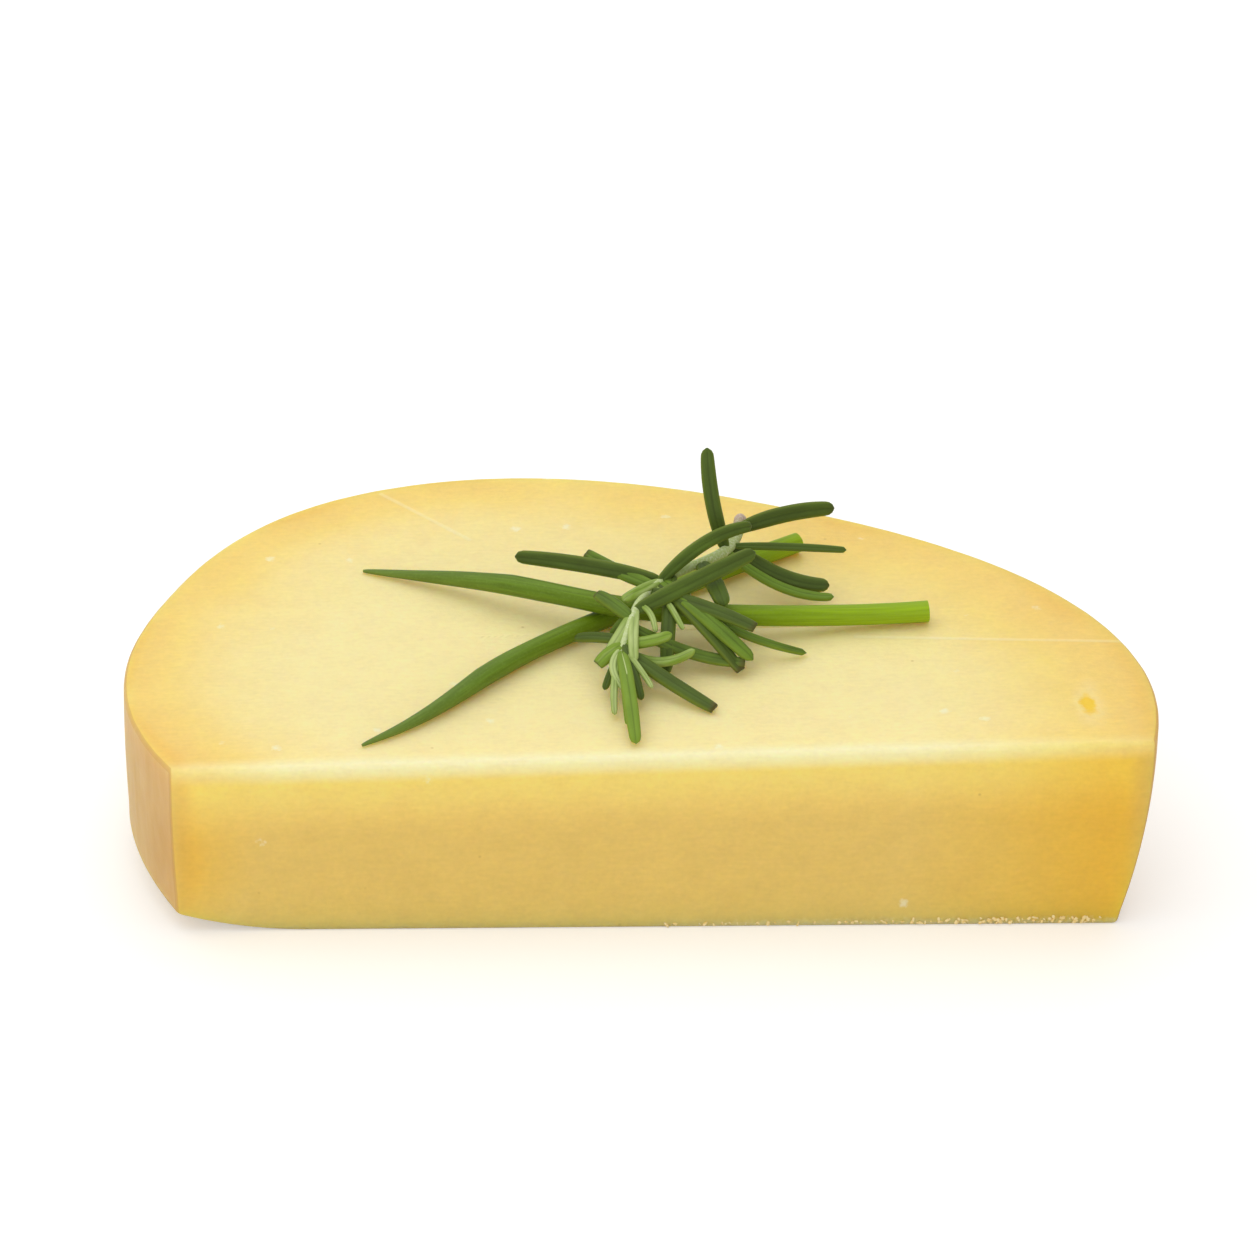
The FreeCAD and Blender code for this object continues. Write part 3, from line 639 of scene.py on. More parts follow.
# They lie on the plane of the cut, taken from a point low down on it.
cut_plane = points[(FOOT_RINGS + ROUNDING + 2) * around + 60][1]
low, high = CRUMB_BAND
left, right = CRUMB_RUN
strip = [(left, cut_plane, low), (right, cut_plane, low), (right, cut_plane, high), (left, cut_plane, low + 0.2)]
sizes = {"Least": CRUMB_SIZE[0] * MM, "Most": CRUMB_SIZE[1] * MM, "Density": CRUMBS_PER_MM / (high - low) / MM ** 2,
    "Seed": 4}
crumb_piece = made_by(tree, "torn_crumbs", (np.array(strip) * MM).tolist(), [], [(0, 1, 2, 3)], sizes, {})
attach(crumb_piece, "root")

# ---- The two chives -------------------------------------------------------
# Fresh chives: hollow green leaves, pointed at the growing tip and cut square
# at the foot. The short one lies on the cheese, and the long one bows over it.

CHIVE_TIP = 0.5
CHIVE_GAP = 0.1
CHIVE_WIDENING = 0.28
CHIVE_POWER = 0.75
CHIVE_WALL = 0.4
CHIVE_HOLLOW = 2.5
DENT_SPACING = 14
LONG_CHIVE = [(-43, 15), (-32.5, 10.2), (-21, 3.4), (-7, -5.4), (6, -9.3), (20, -9), (34, -7.5), (48, -6)]
SHORT_CHIVE = [(-45, -40.5), (-39.5, -37), (-32.5, -31), (-21, -18.5), (-9, -8.5), (12, 7), (28.5, 18)]
LONG_DIAMETER = 3.6
SHORT_DIAMETER = 3.4


def curve_through(points, count):
    """Points at equal steps along the smooth curve through a few points."""
    points = np.array(points, dtype=float)
    knots = np.concatenate([[0], np.cumsum(np.linalg.norm(np.diff(points, axis=0), axis=1))])
    gaps = np.diff(knots)
    last = len(points) - 1
    system = np.eye(last + 1)
    wanted = np.zeros_like(points)
    for index in range(1, last):
        before, after = gaps[index - 1], gaps[index]
        system[index, index - 1:index + 2] = before, 2 * (before + after), after
        wanted[index] = 6 * ((points[index + 1] - points[index]) / after - (points[index] - points[index - 1]) / before)
    bends = np.linalg.solve(system, wanted)
    at = np.linspace(0, knots[-1], 2000)
    span = np.clip(np.searchsorted(knots, at, side="right") - 1, 0, last - 1)
    done = (at - knots[span])[:, None]
    left = (knots[span + 1] - at)[:, None]
    gap = gaps[span][:, None]
    line = (bends[span] * left ** 3 + bends[span + 1] * done ** 3) / (6 * gap)
    line += (points[span] / gap - bends[span] * gap / 6) * left
    line += (points[span + 1] / gap - bends[span + 1] * gap / 6) * done
    lengths = np.concatenate([[0], np.cumsum(np.linalg.norm(np.diff(line, axis=0), axis=1))])
    steps = np.linspace(0, lengths[-1], count)
    return np.column_stack([np.interp(steps, lengths, line[:, axis]) for axis in range(points.shape[1])])


def on_top(points):
    """Points laid out flat, set on the cheese's sloping top."""
    points = np.asarray(points, dtype=float)
    fall = math.atan(TOP_RISE)
    x = points[:, 0] * math.cos(fall) - points[:, 2] * math.sin(fall)
    z = points[:, 0] * math.sin(fall) + points[:, 2] * math.cos(fall) + THICKNESS
    return np.column_stack([x, points[:, 1], z])


def chive_width(share, diameter):
    """A chive's diameter at a share of its length from the tip."""
    full = np.minimum(1.0, share / CHIVE_WIDENING) ** CHIVE_POWER
    return CHIVE_TIP * (1 - full) + diameter * full


# Chive leaf: a thin waxy skin over watery green flesh, with fine ribs along it.
# Dark and a little bloomed towards the tip, fresh yellow-green at the foot. Near the tip the green is also paler and
# bluer, as a painted whitish sheen.
CHIVE_COLOURS = ((0.0, "#687E36"), (0.3, "#648024"), (0.55, "#668012"), (0.75, "#7E9C12"), (1.0, "#94B41E"))
BLOOM = "#8DA850"
CHIVE_FLESH = "#C4D272"
chive_leaf, tree = new_material("fresh_chive_leaf")
along_leaf = add(tree, "ShaderNodeAttribute", {"attribute_name": "laid"}).outputs["Vector"]
share = add(tree, "ShaderNodeAttribute", {"attribute_name": "along"}).outputs["Fac"]
open_end = add(tree, "ShaderNodeAttribute", {"attribute_name": "cut"}).outputs["Fac"]
ribbed = add(tree, "ShaderNodeMapping", feeds={0: along_leaf, "Scale": (1.0, 1.0, 0.04)})
ribs = add(tree, "ShaderNodeTexNoise", feeds={"Vector": ribbed, "Scale": 2.6, "Detail": 2.0})
cells = add(tree, "ShaderNodeTexNoise", feeds={"Vector": along_leaf, "Scale": 2.2, "Detail": 3.0})
green = add(tree, "ShaderNodeValToRGB", feeds={0: share}, stops=CHIVE_COLOURS)
light = add(tree, "ShaderNodeMapRange", feeds={0: ribs, 1: 0.3, 2: 0.7, 3: 0.84, 4: 1.16})
green = add(tree, "ShaderNodeMix", {"data_type": "RGBA", "blend_type": "MULTIPLY"},
    {0: 1.0, 6: green, 7: light}).outputs[2]
bloom = add(tree, "ShaderNodeMapRange", feeds={0: cells, 1: 0.5, 2: 0.8, 3: 0.0, 4: 0.22})
green = add(tree, "ShaderNodeMix", {"data_type": "RGBA"}, {0: bloom, 6: green, 7: colour(BLOOM)}).outputs[2]
green = add(tree, "ShaderNodeMix", {"data_type": "RGBA"}, {0: open_end, 6: green, 7: colour(CHIVE_FLESH)}).outputs[2]
rise = add(tree, "ShaderNodeBump", feeds={"Strength": 0.6, "Distance": 0.12 * MM, "Height": ribs})
gloss = add(tree, "ShaderNodeMapRange", feeds={0: cells, 1: 0.3, 2: 0.7, 3: 0.34, 4: 0.48})
body = add(tree, "ShaderNodeBsdfPrincipled", feeds={
    "Base Color": green,
    "Roughness": gloss,
    "IOR": 1.42,
    "Specular IOR Level": 0.2,
    "Normal": rise,
})
add(tree, "ShaderNodeOutputMaterial", feeds={"Surface": body})


def stalk_recipe(name, skin_of_it):
    """A stalk along its plan: it widens from its tip, is ribbed and softly dented, and is cut at its foot."""
    sizes = {"Tip": 0.0, "Full": 0.0, "Widening": 0.5, "Power": 1.0, "Length": 0.0, "Ribs": 9.0, "Rib Depth": 0.0,
        "Dents": 0.0}
    tree, size = new_recipe(name, sizes | {"Hollow": 0.0, "Inner": 0.8, "Around": 28, "Seed": 0.0})
    line = add(tree, "GeometryNodeMeshToCurve", feeds={"Mesh": size["Geometry"]})
    share = add(tree, "GeometryNodeSplineParameter").outputs["Factor"]
    full = add(tree, "ShaderNodeMath", {"operation": "DIVIDE", "use_clamp": True}, {0: share, 1: size["Widening"]})
    full = add(tree, "ShaderNodeMath", {"operation": "POWER"}, {0: full, 1: size["Power"]})
    wide = add(tree, "ShaderNodeMix", {"data_type": "FLOAT"}, {0: full, 2: size["Tip"], 3: size["Full"]})
    half = add(tree, "ShaderNodeMath", {"operation": "MULTIPLY"}, {0: wide, 1: 0.5})
    line = add(tree, "GeometryNodeStoreNamedAttribute", feeds={"Geometry": line, "Name": "along", "Value": share})
    line = add(tree, "GeometryNodeStoreNamedAttribute", feeds={"Geometry": line, "Name": "half", "Value": half})
    spot = add(tree, "GeometryNodeInputPosition")
    line = add(tree, "GeometryNodeStoreNamedAttribute", {"data_type": "FLOAT_VECTOR"},
        {"Geometry": line, "Name": "middle", "Value": spot})
    line = add(tree, "GeometryNodeSetCurveNormal", {"mode": "Z_UP"}, {"Curve": line})
    line = add(tree, "GeometryNodeSetCurveRadius", feeds={"Curve": line, "Radius": half})
    ring = add(tree, "GeometryNodeCurvePrimitiveCircle", {"mode": "RADIUS"},
        {"Resolution": size["Around"], "Radius": 1.0})
    ring = add(tree, "GeometryNodeStoreNamedAttribute", {"data_type": "FLOAT_VECTOR"},
        {"Geometry": ring, "Name": "turn", "Value": spot})
    made = add(tree, "GeometryNodeCurveToMesh",
        feeds={"Curve": line, "Profile Curve": ring, "Scale": half, "Fill Caps": True})
    along = add(tree, "GeometryNodeInputNamedAttribute", feeds={"Name": "along"})
    half = add(tree, "GeometryNodeInputNamedAttribute", feeds={"Name": "half"})
    middle = add(tree, "GeometryNodeInputNamedAttribute", {"data_type": "FLOAT_VECTOR"}, {"Name": "middle"})
    turn = add(tree, "GeometryNodeInputNamedAttribute", {"data_type": "FLOAT_VECTOR"}, {"Name": "turn"})
    run = add(tree, "ShaderNodeMath", {"operation": "MULTIPLY"}, {0: along, 1: size["Length"]})
    turned = add(tree, "ShaderNodeVectorMath", {"operation": "SCALE"}, {0: turn, "Scale": half})
    split = add(tree, "ShaderNodeSeparateXYZ", feeds={0: turned})
    laid = add(tree, "ShaderNodeCombineXYZ", feeds={0: split.outputs[0], 1: split.outputs[1], 2: run})
    laid = add(tree, "ShaderNodeVectorMath", {"operation": "SCALE"}, {0: laid, "Scale": 1 / MM})
    made = add(tree, "GeometryNodeStoreNamedAttribute", {"data_type": "FLOAT_VECTOR"},
        {"Geometry": made, "Name": "laid", "Value": laid})

    # Ribs and dents draw it in towards its middle line.
    split = add(tree, "ShaderNodeSeparateXYZ", feeds={0: turn})
    angle = add(tree, "ShaderNodeMath", {"operation": "ARCTAN2"}, {0: split.outputs[1], 1: split.outputs[0]})
    angle = add(tree, "ShaderNodeMath", {"operation": "MULTIPLY"}, {0: angle, 1: size["Ribs"]})
    rib = add(tree, "ShaderNodeMath", {"operation": "COSINE"}, {0: angle})
    rib = add(tree, "ShaderNodeMapRange", feeds={0: rib, 1: -1.0, 2: 1.0, 3: 1.0, 4: 0.0})
    rib = add(tree, "ShaderNodeMath", {"operation": "MULTIPLY"}, {0: rib, 1: size["Rib Depth"]})
    half_turn = add(tree, "ShaderNodeVectorMath", {"operation": "SCALE"}, {0: turn, "Scale": 0.5})
    half_turn = add(tree, "ShaderNodeSeparateXYZ", feeds={0: half_turn})
    far = add(tree, "ShaderNodeMath", {"operation": "MULTIPLY_ADD"},
        {0: run, 1: 1 / (DENT_SPACING * MM), 2: size["Seed"]})
    seen = add(tree, "ShaderNodeCombineXYZ", feeds={0: half_turn.outputs[0], 1: half_turn.outputs[1], 2: far})
    dent = add(tree, "ShaderNodeTexNoise", feeds={"Vector": seen, "Scale": 1.0, "Detail": 0.0})
    dent = add(tree, "ShaderNodeMapRange", feeds={0: dent, 1: 0.35, 2: 0.65})
    dent = add(tree, "ShaderNodeMath", {"operation": "MULTIPLY_ADD"}, {0: dent, 1: size["Dents"], 2: rib})
    out = add(tree, "ShaderNodeVectorMath", {"operation": "SUBTRACT"}, {0: middle, 1: spot})
    out = add(tree, "ShaderNodeVectorMath", {"operation": "SCALE"}, {0: out, "Scale": dent})
    made = add(tree, "GeometryNodeSetPosition", feeds={"Geometry": made, "Offset": out})

    # The cut foot: the end face is drawn in, then sunk to leave the wall.
    corners = add(tree, "GeometryNodeInputMeshFaceNeighbors").outputs["Vertex Count"]
    capped = add(tree, "FunctionNodeCompare", {"data_type": "INT", "operation": "GREATER_THAN"}, {2: corners, 3: 4})
    footed = add(tree, "FunctionNodeCompare", {"data_type": "FLOAT", "operation": "GREATER_THAN"}, {0: along, 1: 0.9})
    foot = add(tree, "FunctionNodeBooleanMath", {"operation": "AND"}, {0: capped, 1: footed})
    made = add(tree, "GeometryNodeExtrudeMesh", {"mode": "FACES"},
        {"Mesh": made, "Selection": foot, "Offset Scale": 0.0, "Individual": True})
    rim = made.outputs["Top"]
    made = add(tree, "GeometryNodeScaleElements", {"domain": "FACE"},
        {"Geometry": made, "Selection": rim, "Scale": size["Inner"]})
    made = add(tree, "GeometryNodeStoreNamedAttribute", {"domain": "FACE"},
        {"Geometry": made, "Selection": rim, "Name": "cut", "Value": 1.0})
    sink = add(tree, "ShaderNodeMath", {"operation": "MULTIPLY"}, {0: size["Hollow"], 1: -1.0})
    made = add(tree, "GeometryNodeExtrudeMesh", {"mode": "FACES"},
        {"Mesh": made, "Selection": rim, "Offset Scale": sink, "Individual": True})
    made = add(tree, "GeometryNodeScaleElements", {"domain": "FACE"},
        {"Geometry": made, "Selection": made.outputs["Top"], "Scale": 0.6})
    made = add(tree, "GeometryNodeSetShadeSmooth", feeds={0: made})
    made = add(tree, "GeometryNodeRealizeInstances", feeds={0: made})
    made = add(tree, "GeometryNodeSetMaterial", feeds={"Geometry": made, "Material": skin_of_it})
    add(tree, "NodeGroupOutput", feeds={0: made})
    return tree


# Where the two chives cross, and how high the long one has to bow there.
CROSSING_STEPS = 2000
long_line = curve_through(LONG_CHIVE, CROSSING_STEPS + 1)
short_line = curve_through(SHORT_CHIVE, CROSSING_STEPS + 1)
apart = np.linalg.norm(long_line[:, None] - short_line[None], axis=2)
at_long, at_short = np.unravel_index(apart.argmin(), apart.shape)
long_crossing, short_crossing = at_long / CROSSING_STEPS, at_short / CROSSING_STEPS
bow_height = chive_width(short_crossing, SHORT_DIAMETER) + CHIVE_GAP
pile_height = CHIVE_GAP + bow_height + chive_width(long_crossing, LONG_DIAMETER)


def bow(share):
    """How far the long chive is lifted on its way over the short one."""
    end = np.where(share < long_crossing, 0.0, 1.0)
    return bow_height * np.cos(math.pi / 2 * (share - long_crossing) / (end - long_crossing)) ** 2


chive_stalk = stalk_recipe("chive_stalk", chive_leaf)
CHIVE_STEPS = 240
for name, route, diameter, lift, seed, node in (
    ("chive_over", LONG_CHIVE, LONG_DIAMETER, bow, 3.0, "long_chive"),
    ("chive_under", SHORT_CHIVE, SHORT_DIAMETER, np.zeros_like, 8.0, "short_chive"),
):
    flat = curve_through(route, CHIVE_STEPS)
    share = np.linspace(0, 1, CHIVE_STEPS)
    plan = on_top(np.column_stack([flat, CHIVE_GAP + chive_width(share, diameter) / 2 + lift(share)])) * MM
    sizes = {"Tip": CHIVE_TIP * MM, "Full": diameter * MM, "Widening": CHIVE_WIDENING, "Power": CHIVE_POWER}
    sizes |= {"Length": float(np.linalg.norm(np.diff(plan, axis=0), axis=1).sum()), "Ribs": 9.0, "Rib Depth": 0.006,
        "Dents": 0.07}
    sizes |= {"Hollow": CHIVE_HOLLOW * MM, "Inner": 1 - 2 * CHIVE_WALL / diameter, "Around": 28, "Seed": seed}
    piece = made_by(chive_stalk, name, plan.tolist(), [(step, step + 1) for step in range(CHIVE_STEPS - 1)], [],
        sizes, {})
    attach(piece, "root")
    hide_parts(node)

# ---- The sprig of rosemary ------------------------------------------------
# A cut rosemary tip: a ribbed pale stem with narrow leathery leaves, dark and
# grooved above, felted below, and a tuft of soft young leaves at its end.

STEM = [(-3, -22.3, -2.4), (-1, -16.5, 0.4), (3, -7, 1.1), (9, -1.5, 1.4), (15, 4, 0.9), (19, 17, -0.2)]
STEM_STEPS = 400
STEM_RADII = (0.6, 1.1)
LEAF_BREADTH = 2.2
LEAF_THICKNESS = 0.9
# Each leaf: how far along the stem it grows, from the growing end; its tip,
# across, back and off the cheese; how far its middle rises and goes aside; its
# breadth against a common leaf; how far its face leans to the front; how young
# it is, from dark and grown to pale and new; and how much its end is cut brown.
LEAVES = [
    (0.74, 13.0, 10.0, 24.5, 0.0, 0.8, 1.15, 1.0, 0.12, 0.0),
    (0.92, 34.5, 18.0, 8.0, 0.9, 0.0, 1.25, 0.7, 0.06, 0.3),
    (0.78, 35.5, 5.0, 7.5, 0.2, 0.0, 0.6, 0.5, 0.14, 0.0),
    (0.79, 32.5, 1.5, 3.0, -2.0, 0.0, 1.2, 0.6, 0.05, 0.3),
    (0.74, 33.0, -1.5, 2.5, -2.4, 0.0, 0.8, 0.3, 0.42, 0.0),
    (0.40, 20.0, 5.0, 12.5, 2.2, 0.0, 1.05, 0.7, 0.18, 0.0),
    (0.20, 20.0, -3.5, 12.5, 0.1, 0.0, 1.3, 0.6, 0.12, 0.0),
    (0.60, 14.5, -11.5, 7.2, 0.8, 0.0, 1.4, 0.2, 0.16, 0.0),
    (0.34, 19.0, -18.0, 6.8, 0.6, 0.0, 1.1, 0.4, 0.08, 0.7),
    (0.42, 18.5, -21.0, 2.5, 2.0, -1.5, 1.25, 0.2, 0.40, 0.0),
    (0.40, 16.5, -22.0, 1.2, 2.0, -0.8, 1.1, 0.1, 0.06, 0.8),
    (0.44, 27.5, -16.0, 0.6, 1.0, -5.0, 0.7, 0.3, 0.30, 0.0),
    (0.42, -18.5, 6.5, 7.2, 0.6, 0.0, 1.2, 0.7, 0.06, 0.0),
    (0.38, -7.0, 3.2, 9.3, -0.5, 0.0, 1.0, 0.5, 0.34, 0.7),
    (0.42, -2.0, -12.0, 9.0, 0.2, 0.0, 0.9, 0.3, 0.78, 0.0),
    (0.16, -6.0, -10.0, 9.2, 0.3, 0.0, 1.1, 0.3, 0.26, 0.9),
    (0.18, -4.0, -15.5, 4.2, 0.4, 0.0, 0.9, 0.4, 0.22, 0.0),
    (0.06, -9.8, -13.2, 3.0, 0.4, 0.0, 0.85, 0.4, 0.10, 0.6),
    (0.13, 17.2, -21.2, 2.2, -1.5, 0.0, 0.95, 0.4, 0.22, 0.7),
    (0.47, 4.4, -22.6, 1.2, 2.0, 0.0, 1.1, 0.1, 0.08, 0.0),
    (0.03, 11.5, -33.0, 0.8, -0.4, 0.0, 1.15, 0.3, 0.10, 0.8),
    (0.05, 5.5, -20.5, 7.5, -0.5, 0.0, 0.95, 0.3, 0.74, 0.0),
    (0.03, 9.0, -23.5, 6.2, -2.4, 0.0, 0.8, 0.3, 0.78, 0.0),
    (0.02, -1.6, -43.0, 0.7, 1.4, 0.0, 1.05, 0.0, 0.64, 0.0),
    (0.02, -4.5, -34.2, 0.9, 0.8, -0.5, 0.55, 0.2, 0.86, 0.0),
    (0.01, -2.6, -37.3, 0.8, 0.8, 0.0, 0.5, 0.3, 0.70, 0.0),
    (0.02, -1.5, -34.0, 4.0, 0.6, 0.0, 0.4, 0.2, 0.98, 0.0),
    (0.03, 1.8, -29.8, 3.0, 0.5, 0.0, 0.45, 0.2, 0.92, 0.0),
    (0.01, -5.8, -27.5, 1.6, 0.4, 0.0, 0.6, 0.2, 0.10, 0.0),
    (0.05, 0.0, -31.0, 1.6, 0.6, 0.0, 0.7, 0.1, 0.10, 0.0),
    (0.04, -6.6, -22.8, 3.5, 0.4, 0.0, 1.1, 0.3, 0.70, 0.8),
    (0.38, 7.5, -17.5, 6.5, 0.6, 0.0, 0.45, 0.3, 0.84, 0.0),
    (0.20, -5.2, -22.0, 4.6, 0.5, 0.3, 0.85, 0.3, 0.84, 0.0),
    (0.22, -0.8, -24.6, 5.0, 0.6, -0.3, 0.8, 0.3, 0.92, 0.0),
    (0.03, -1.2, -31.2, 2.2, 0.6, -2.4, 0.55, 0.5, 1.00, 0.0),
    (0.24, 3.0, -18.2, 6.5, 0.9, 0.6, 0.45, 0.3, 0.84, 0.0),
]
LEAF_STEPS = 20
LEAF_AROUND = 20
# Each leaf's pattern starts this far past the last one's, so that no two match.
PATTERN_APART = 37

# Young stem: square-ribbed and pale green under white down, pink where it is cut. The bark's pale greens and the white
# down are raised in part as a painted highlight along the stem.
rosemary_stem, tree = new_material("downy_rosemary_stem")
along_stem = add(tree, "ShaderNodeAttribute", {"attribute_name": "laid"}).outputs["Vector"]
share = add(tree, "ShaderNodeAttribute", {"attribute_name": "along"}).outputs["Fac"]
down = add(tree, "ShaderNodeTexNoise", feeds={"Vector": along_stem, "Scale": 2.5, "Detail": 3.0})
DOWN_WHITE = "#E4E8CC"
BARK_COLOURS = ((0.0, "#C2D08E"), (0.6, "#B4C67C"), (0.9, "#A4B070"), (0.97, "#B09480"), (1.0, "#CCB0A2"))
bark = add(tree, "ShaderNodeValToRGB", feeds={0: share}, stops=BARK_COLOURS)
downy = add(tree, "ShaderNodeMapRange", feeds={0: down, 1: 0.45, 2: 0.75, 3: 0.0, 4: 0.6})
bark = add(tree, "ShaderNodeMix", {"data_type": "RGBA"}, {0: downy, 6: bark, 7: colour(DOWN_WHITE)}).outputs[2]
rise = add(tree, "ShaderNodeBump", feeds={"Strength": 0.5, "Distance": 0.1 * MM, "Height": down})
body = add(tree, "ShaderNodeBsdfPrincipled",
    feeds={"Base Color": bark, "Roughness": 0.7, "IOR": 1.45, "Specular IOR Level": 0.3, "Normal": rise})
add(tree, "ShaderNodeOutputMaterial", feeds={"Surface": body})

stem_line = curve_through([(across, back, pile_height + over) for across, back, over in STEM], STEM_STEPS + 1)
plan = on_top(stem_line[::5]) * MM
sizes = {"Tip": 2 * STEM_RADII[0] * MM, "Full": 2 * STEM_RADII[1] * MM, "Widening": 1.0, "Power": 1.0}
sizes |= {"Length": float(np.linalg.norm(np.diff(plan, axis=0), axis=1).sum()), "Ribs": 4.0, "Rib Depth": 0.06,
    "Dents": 0.06}
sizes |= {"Hollow": 0.1 * MM, "Inner": 0.8, "Around": 24, "Seed": 5.0}
stem_edges = [(step, step + 1) for step in range(len(plan) - 1)]
stem = made_by(stalk_recipe("rosemary_stalk", rosemary_stem), "rosemary_stem", plan.tolist(), stem_edges, [], sizes, {})

# Rosemary leaf: thick and leathery, dark olive with a dull shine above, felted
# grey-green below. New leaves are soft, pale and downy; cut ends go brown.
LEAF_COLOURS = ((0.0, "#4B5A24"), (0.2, "#546828"), (0.42, "#6A862C"), (0.75, "#7E9A34"), (1.0, "#B8C880"))
# Painted highlight: the lighter green that the leaf margins are painted with.
LEAF_EDGE_HIGHLIGHT = "#8C9C34"
# Painted shade: the darker green painted into the groove along the midrib.
LEAF_GROOVE_SHADE = "#364216"
FELT = "#84925A"
CUT_BROWN = "#5C5230"
rosemary_leaf, tree = new_material("leathery_rosemary_leaf")
along_leaf = add(tree, "ShaderNodeAttribute", {"attribute_name": "laid"}).outputs["Vector"]
age = add(tree, "ShaderNodeAttribute", {"attribute_name": "youth"}).outputs["Fac"]
felt = add(tree, "ShaderNodeAttribute", {"attribute_name": "underside"}).outputs["Fac"]
brown = add(tree, "ShaderNodeAttribute", {"attribute_name": "cut"}).outputs["Fac"]
share = add(tree, "ShaderNodeAttribute", {"attribute_name": "share"}).outputs["Fac"]
sideways = add(tree, "ShaderNodeAttribute", {"attribute_name": "across"}).outputs["Fac"]
long_grain = add(tree, "ShaderNodeMapping", feeds={0: along_leaf, "Scale": (1.0, 1.0, 0.2)})
patches = add(tree, "ShaderNodeTexNoise", feeds={"Vector": long_grain, "Scale": 1.1, "Detail": 3.0})
pebbles = add(tree, "ShaderNodeTexNoise", feeds={"Vector": along_leaf, "Scale": 3.5, "Detail": 2.0})
patched = add(tree, "ShaderNodeMapRange", feeds={0: patches, 1: 0.3, 2: 0.7, 3: -0.06, 4: 0.12})
age = add(tree, "ShaderNodeMath", feeds={0: age, 1: patched})
green = add(tree, "ShaderNodeValToRGB", feeds={0: age}, stops=LEAF_COLOURS)
from_rib = add(tree, "ShaderNodeMath", {"operation": "ABSOLUTE"}, {0: sideways})
# The margins are painted lighter, as a painted highlight along the leaf's lit edges.
edge_highlight = add(tree, "ShaderNodeMapRange", {"interpolation_type": "SMOOTHSTEP"},
    {0: from_rib, 1: 0.6, 2: 0.98, 3: 0.0, 4: 0.3})
green = add(tree, "ShaderNodeMix", {"data_type": "RGBA"}, {0: edge_highlight, 6: green, 7: colour(LEAF_EDGE_HIGHLIGHT)}).outputs[2]
# The groove along the midrib is painted darker, as painted shade in the hollow.
grooved = add(tree, "ShaderNodeMapRange", {"interpolation_type": "SMOOTHSTEP"},
    {0: from_rib, 1: 0.02, 2: 0.2, 3: 0.3, 4: 0.0})
green = add(tree, "ShaderNodeMix", {"data_type": "RGBA"}, {0: grooved, 6: green, 7: colour(LEAF_GROOVE_SHADE)}).outputs[2]
felted = add(tree, "ShaderNodeMath", {"operation": "MULTIPLY"}, {0: felt, 1: 0.6})
green = add(tree, "ShaderNodeMix", {"data_type": "RGBA"}, {0: felted, 6: green, 7: colour(FELT)}).outputs[2]
at_end = add(tree, "ShaderNodeMath", {"operation": "MULTIPLY_ADD"}, {0: patches, 1: 0.12, 2: share})
at_end = add(tree, "ShaderNodeMapRange", feeds={0: at_end, 1: 1.0, 2: 1.06})
browned = add(tree, "ShaderNodeMath", {"operation": "MULTIPLY"}, {0: at_end, 1: brown})
green = add(tree, "ShaderNodeMix", {"data_type": "RGBA"}, {0: browned, 6: green, 7: colour(CUT_BROWN)}).outputs[2]
rise = add(tree, "ShaderNodeBump", feeds={"Strength": 0.5, "Distance": 0.1 * MM, "Height": pebbles})
gloss = add(tree, "ShaderNodeMapRange", feeds={0: felt, 3: 0.42, 4: 0.85})
body = add(tree, "ShaderNodeBsdfPrincipled", feeds={
    "Base Color": green,
    "Roughness": gloss,
    "IOR": 1.45,
    "Specular IOR Level": 0.14,
    "Normal": rise,
})
add(tree, "ShaderNodeOutputMaterial", feeds={"Surface": body})

# The leaf that all are made from: rounded edges, a groove above, a felted hollow below.
pattern_points, pattern = [], {"across": [], "lift": [], "share": [], "underside": []}
for step in range(LEAF_STEPS + 1):
    share = 1 - (1 - step / LEAF_STEPS) ** 1.25
    for turn in np.linspace(0, 2 * math.pi, LEAF_AROUND, endpoint=False):
        side, up = math.cos(turn), math.sin(turn)
        groove = math.exp(-(side / 0.2) ** 2)
        if up >= 0:
            lift = up ** 0.75 - 0.34 * groove
        else:
            lift = 0.75 * math.exp(-(side / 0.5) ** 2) - abs(up) ** 0.6 - 0.35 * groove
        pattern_points.append((side, lift, share))
        pattern["across"].append(side)
        pattern["lift"].append(lift)
        pattern["share"].append(share)
        pattern["underside"].append(1.0 if up < -0.3 and abs(side) < 0.7 else 0.0)
pattern_faces = []
for ring in range(LEAF_STEPS):
    for column in range(LEAF_AROUND):
        beside = (column + 1) % LEAF_AROUND
        low, high = ring * LEAF_AROUND, (ring + 1) * LEAF_AROUND
        pattern_faces.append((low + column, low + beside, high + beside, high + column))
pattern_faces.append(tuple(range(LEAF_AROUND - 1, -1, -1)))
pattern_faces.append(tuple(range(LEAF_STEPS * LEAF_AROUND, (LEAF_STEPS + 1) * LEAF_AROUND)))
leaf_pattern = shown("leaf_pattern", pattern_points, pattern_faces, rosemary_leaf)
with_values(leaf_pattern, **pattern)

tree, size = new_recipe("rosemary_foliage", {"Breadth": 0.0, "Thickness": 0.0})
spot = add(tree, "GeometryNodeInputPosition")
sprout = add(tree, "GeometryNodeStoreNamedAttribute", {"data_type": "FLOAT_VECTOR"},
    {"Geometry": size["Geometry"], "Name": "base", "Value": spot})
blade = add(tree, "GeometryNodeObjectInfo", feeds={"Object": leaf_pattern}).outputs["Geometry"]
blade = add(tree, "GeometryNodeInstanceOnPoints", feeds={"Points": sprout, "Instance": blade})
blade = add(tree, "GeometryNodeRealizeInstances", feeds={0: blade})
given = {}
for name in ("base", "bowed", "tip", "upward"):
    given[name] = add(tree, "GeometryNodeInputNamedAttribute", {"data_type": "FLOAT_VECTOR"}, {"Name": name})
for name in ("share", "across", "lift", "broad", "cut", "number"):
    given[name] = add(tree, "GeometryNodeInputNamedAttribute", feeds={"Name": name})

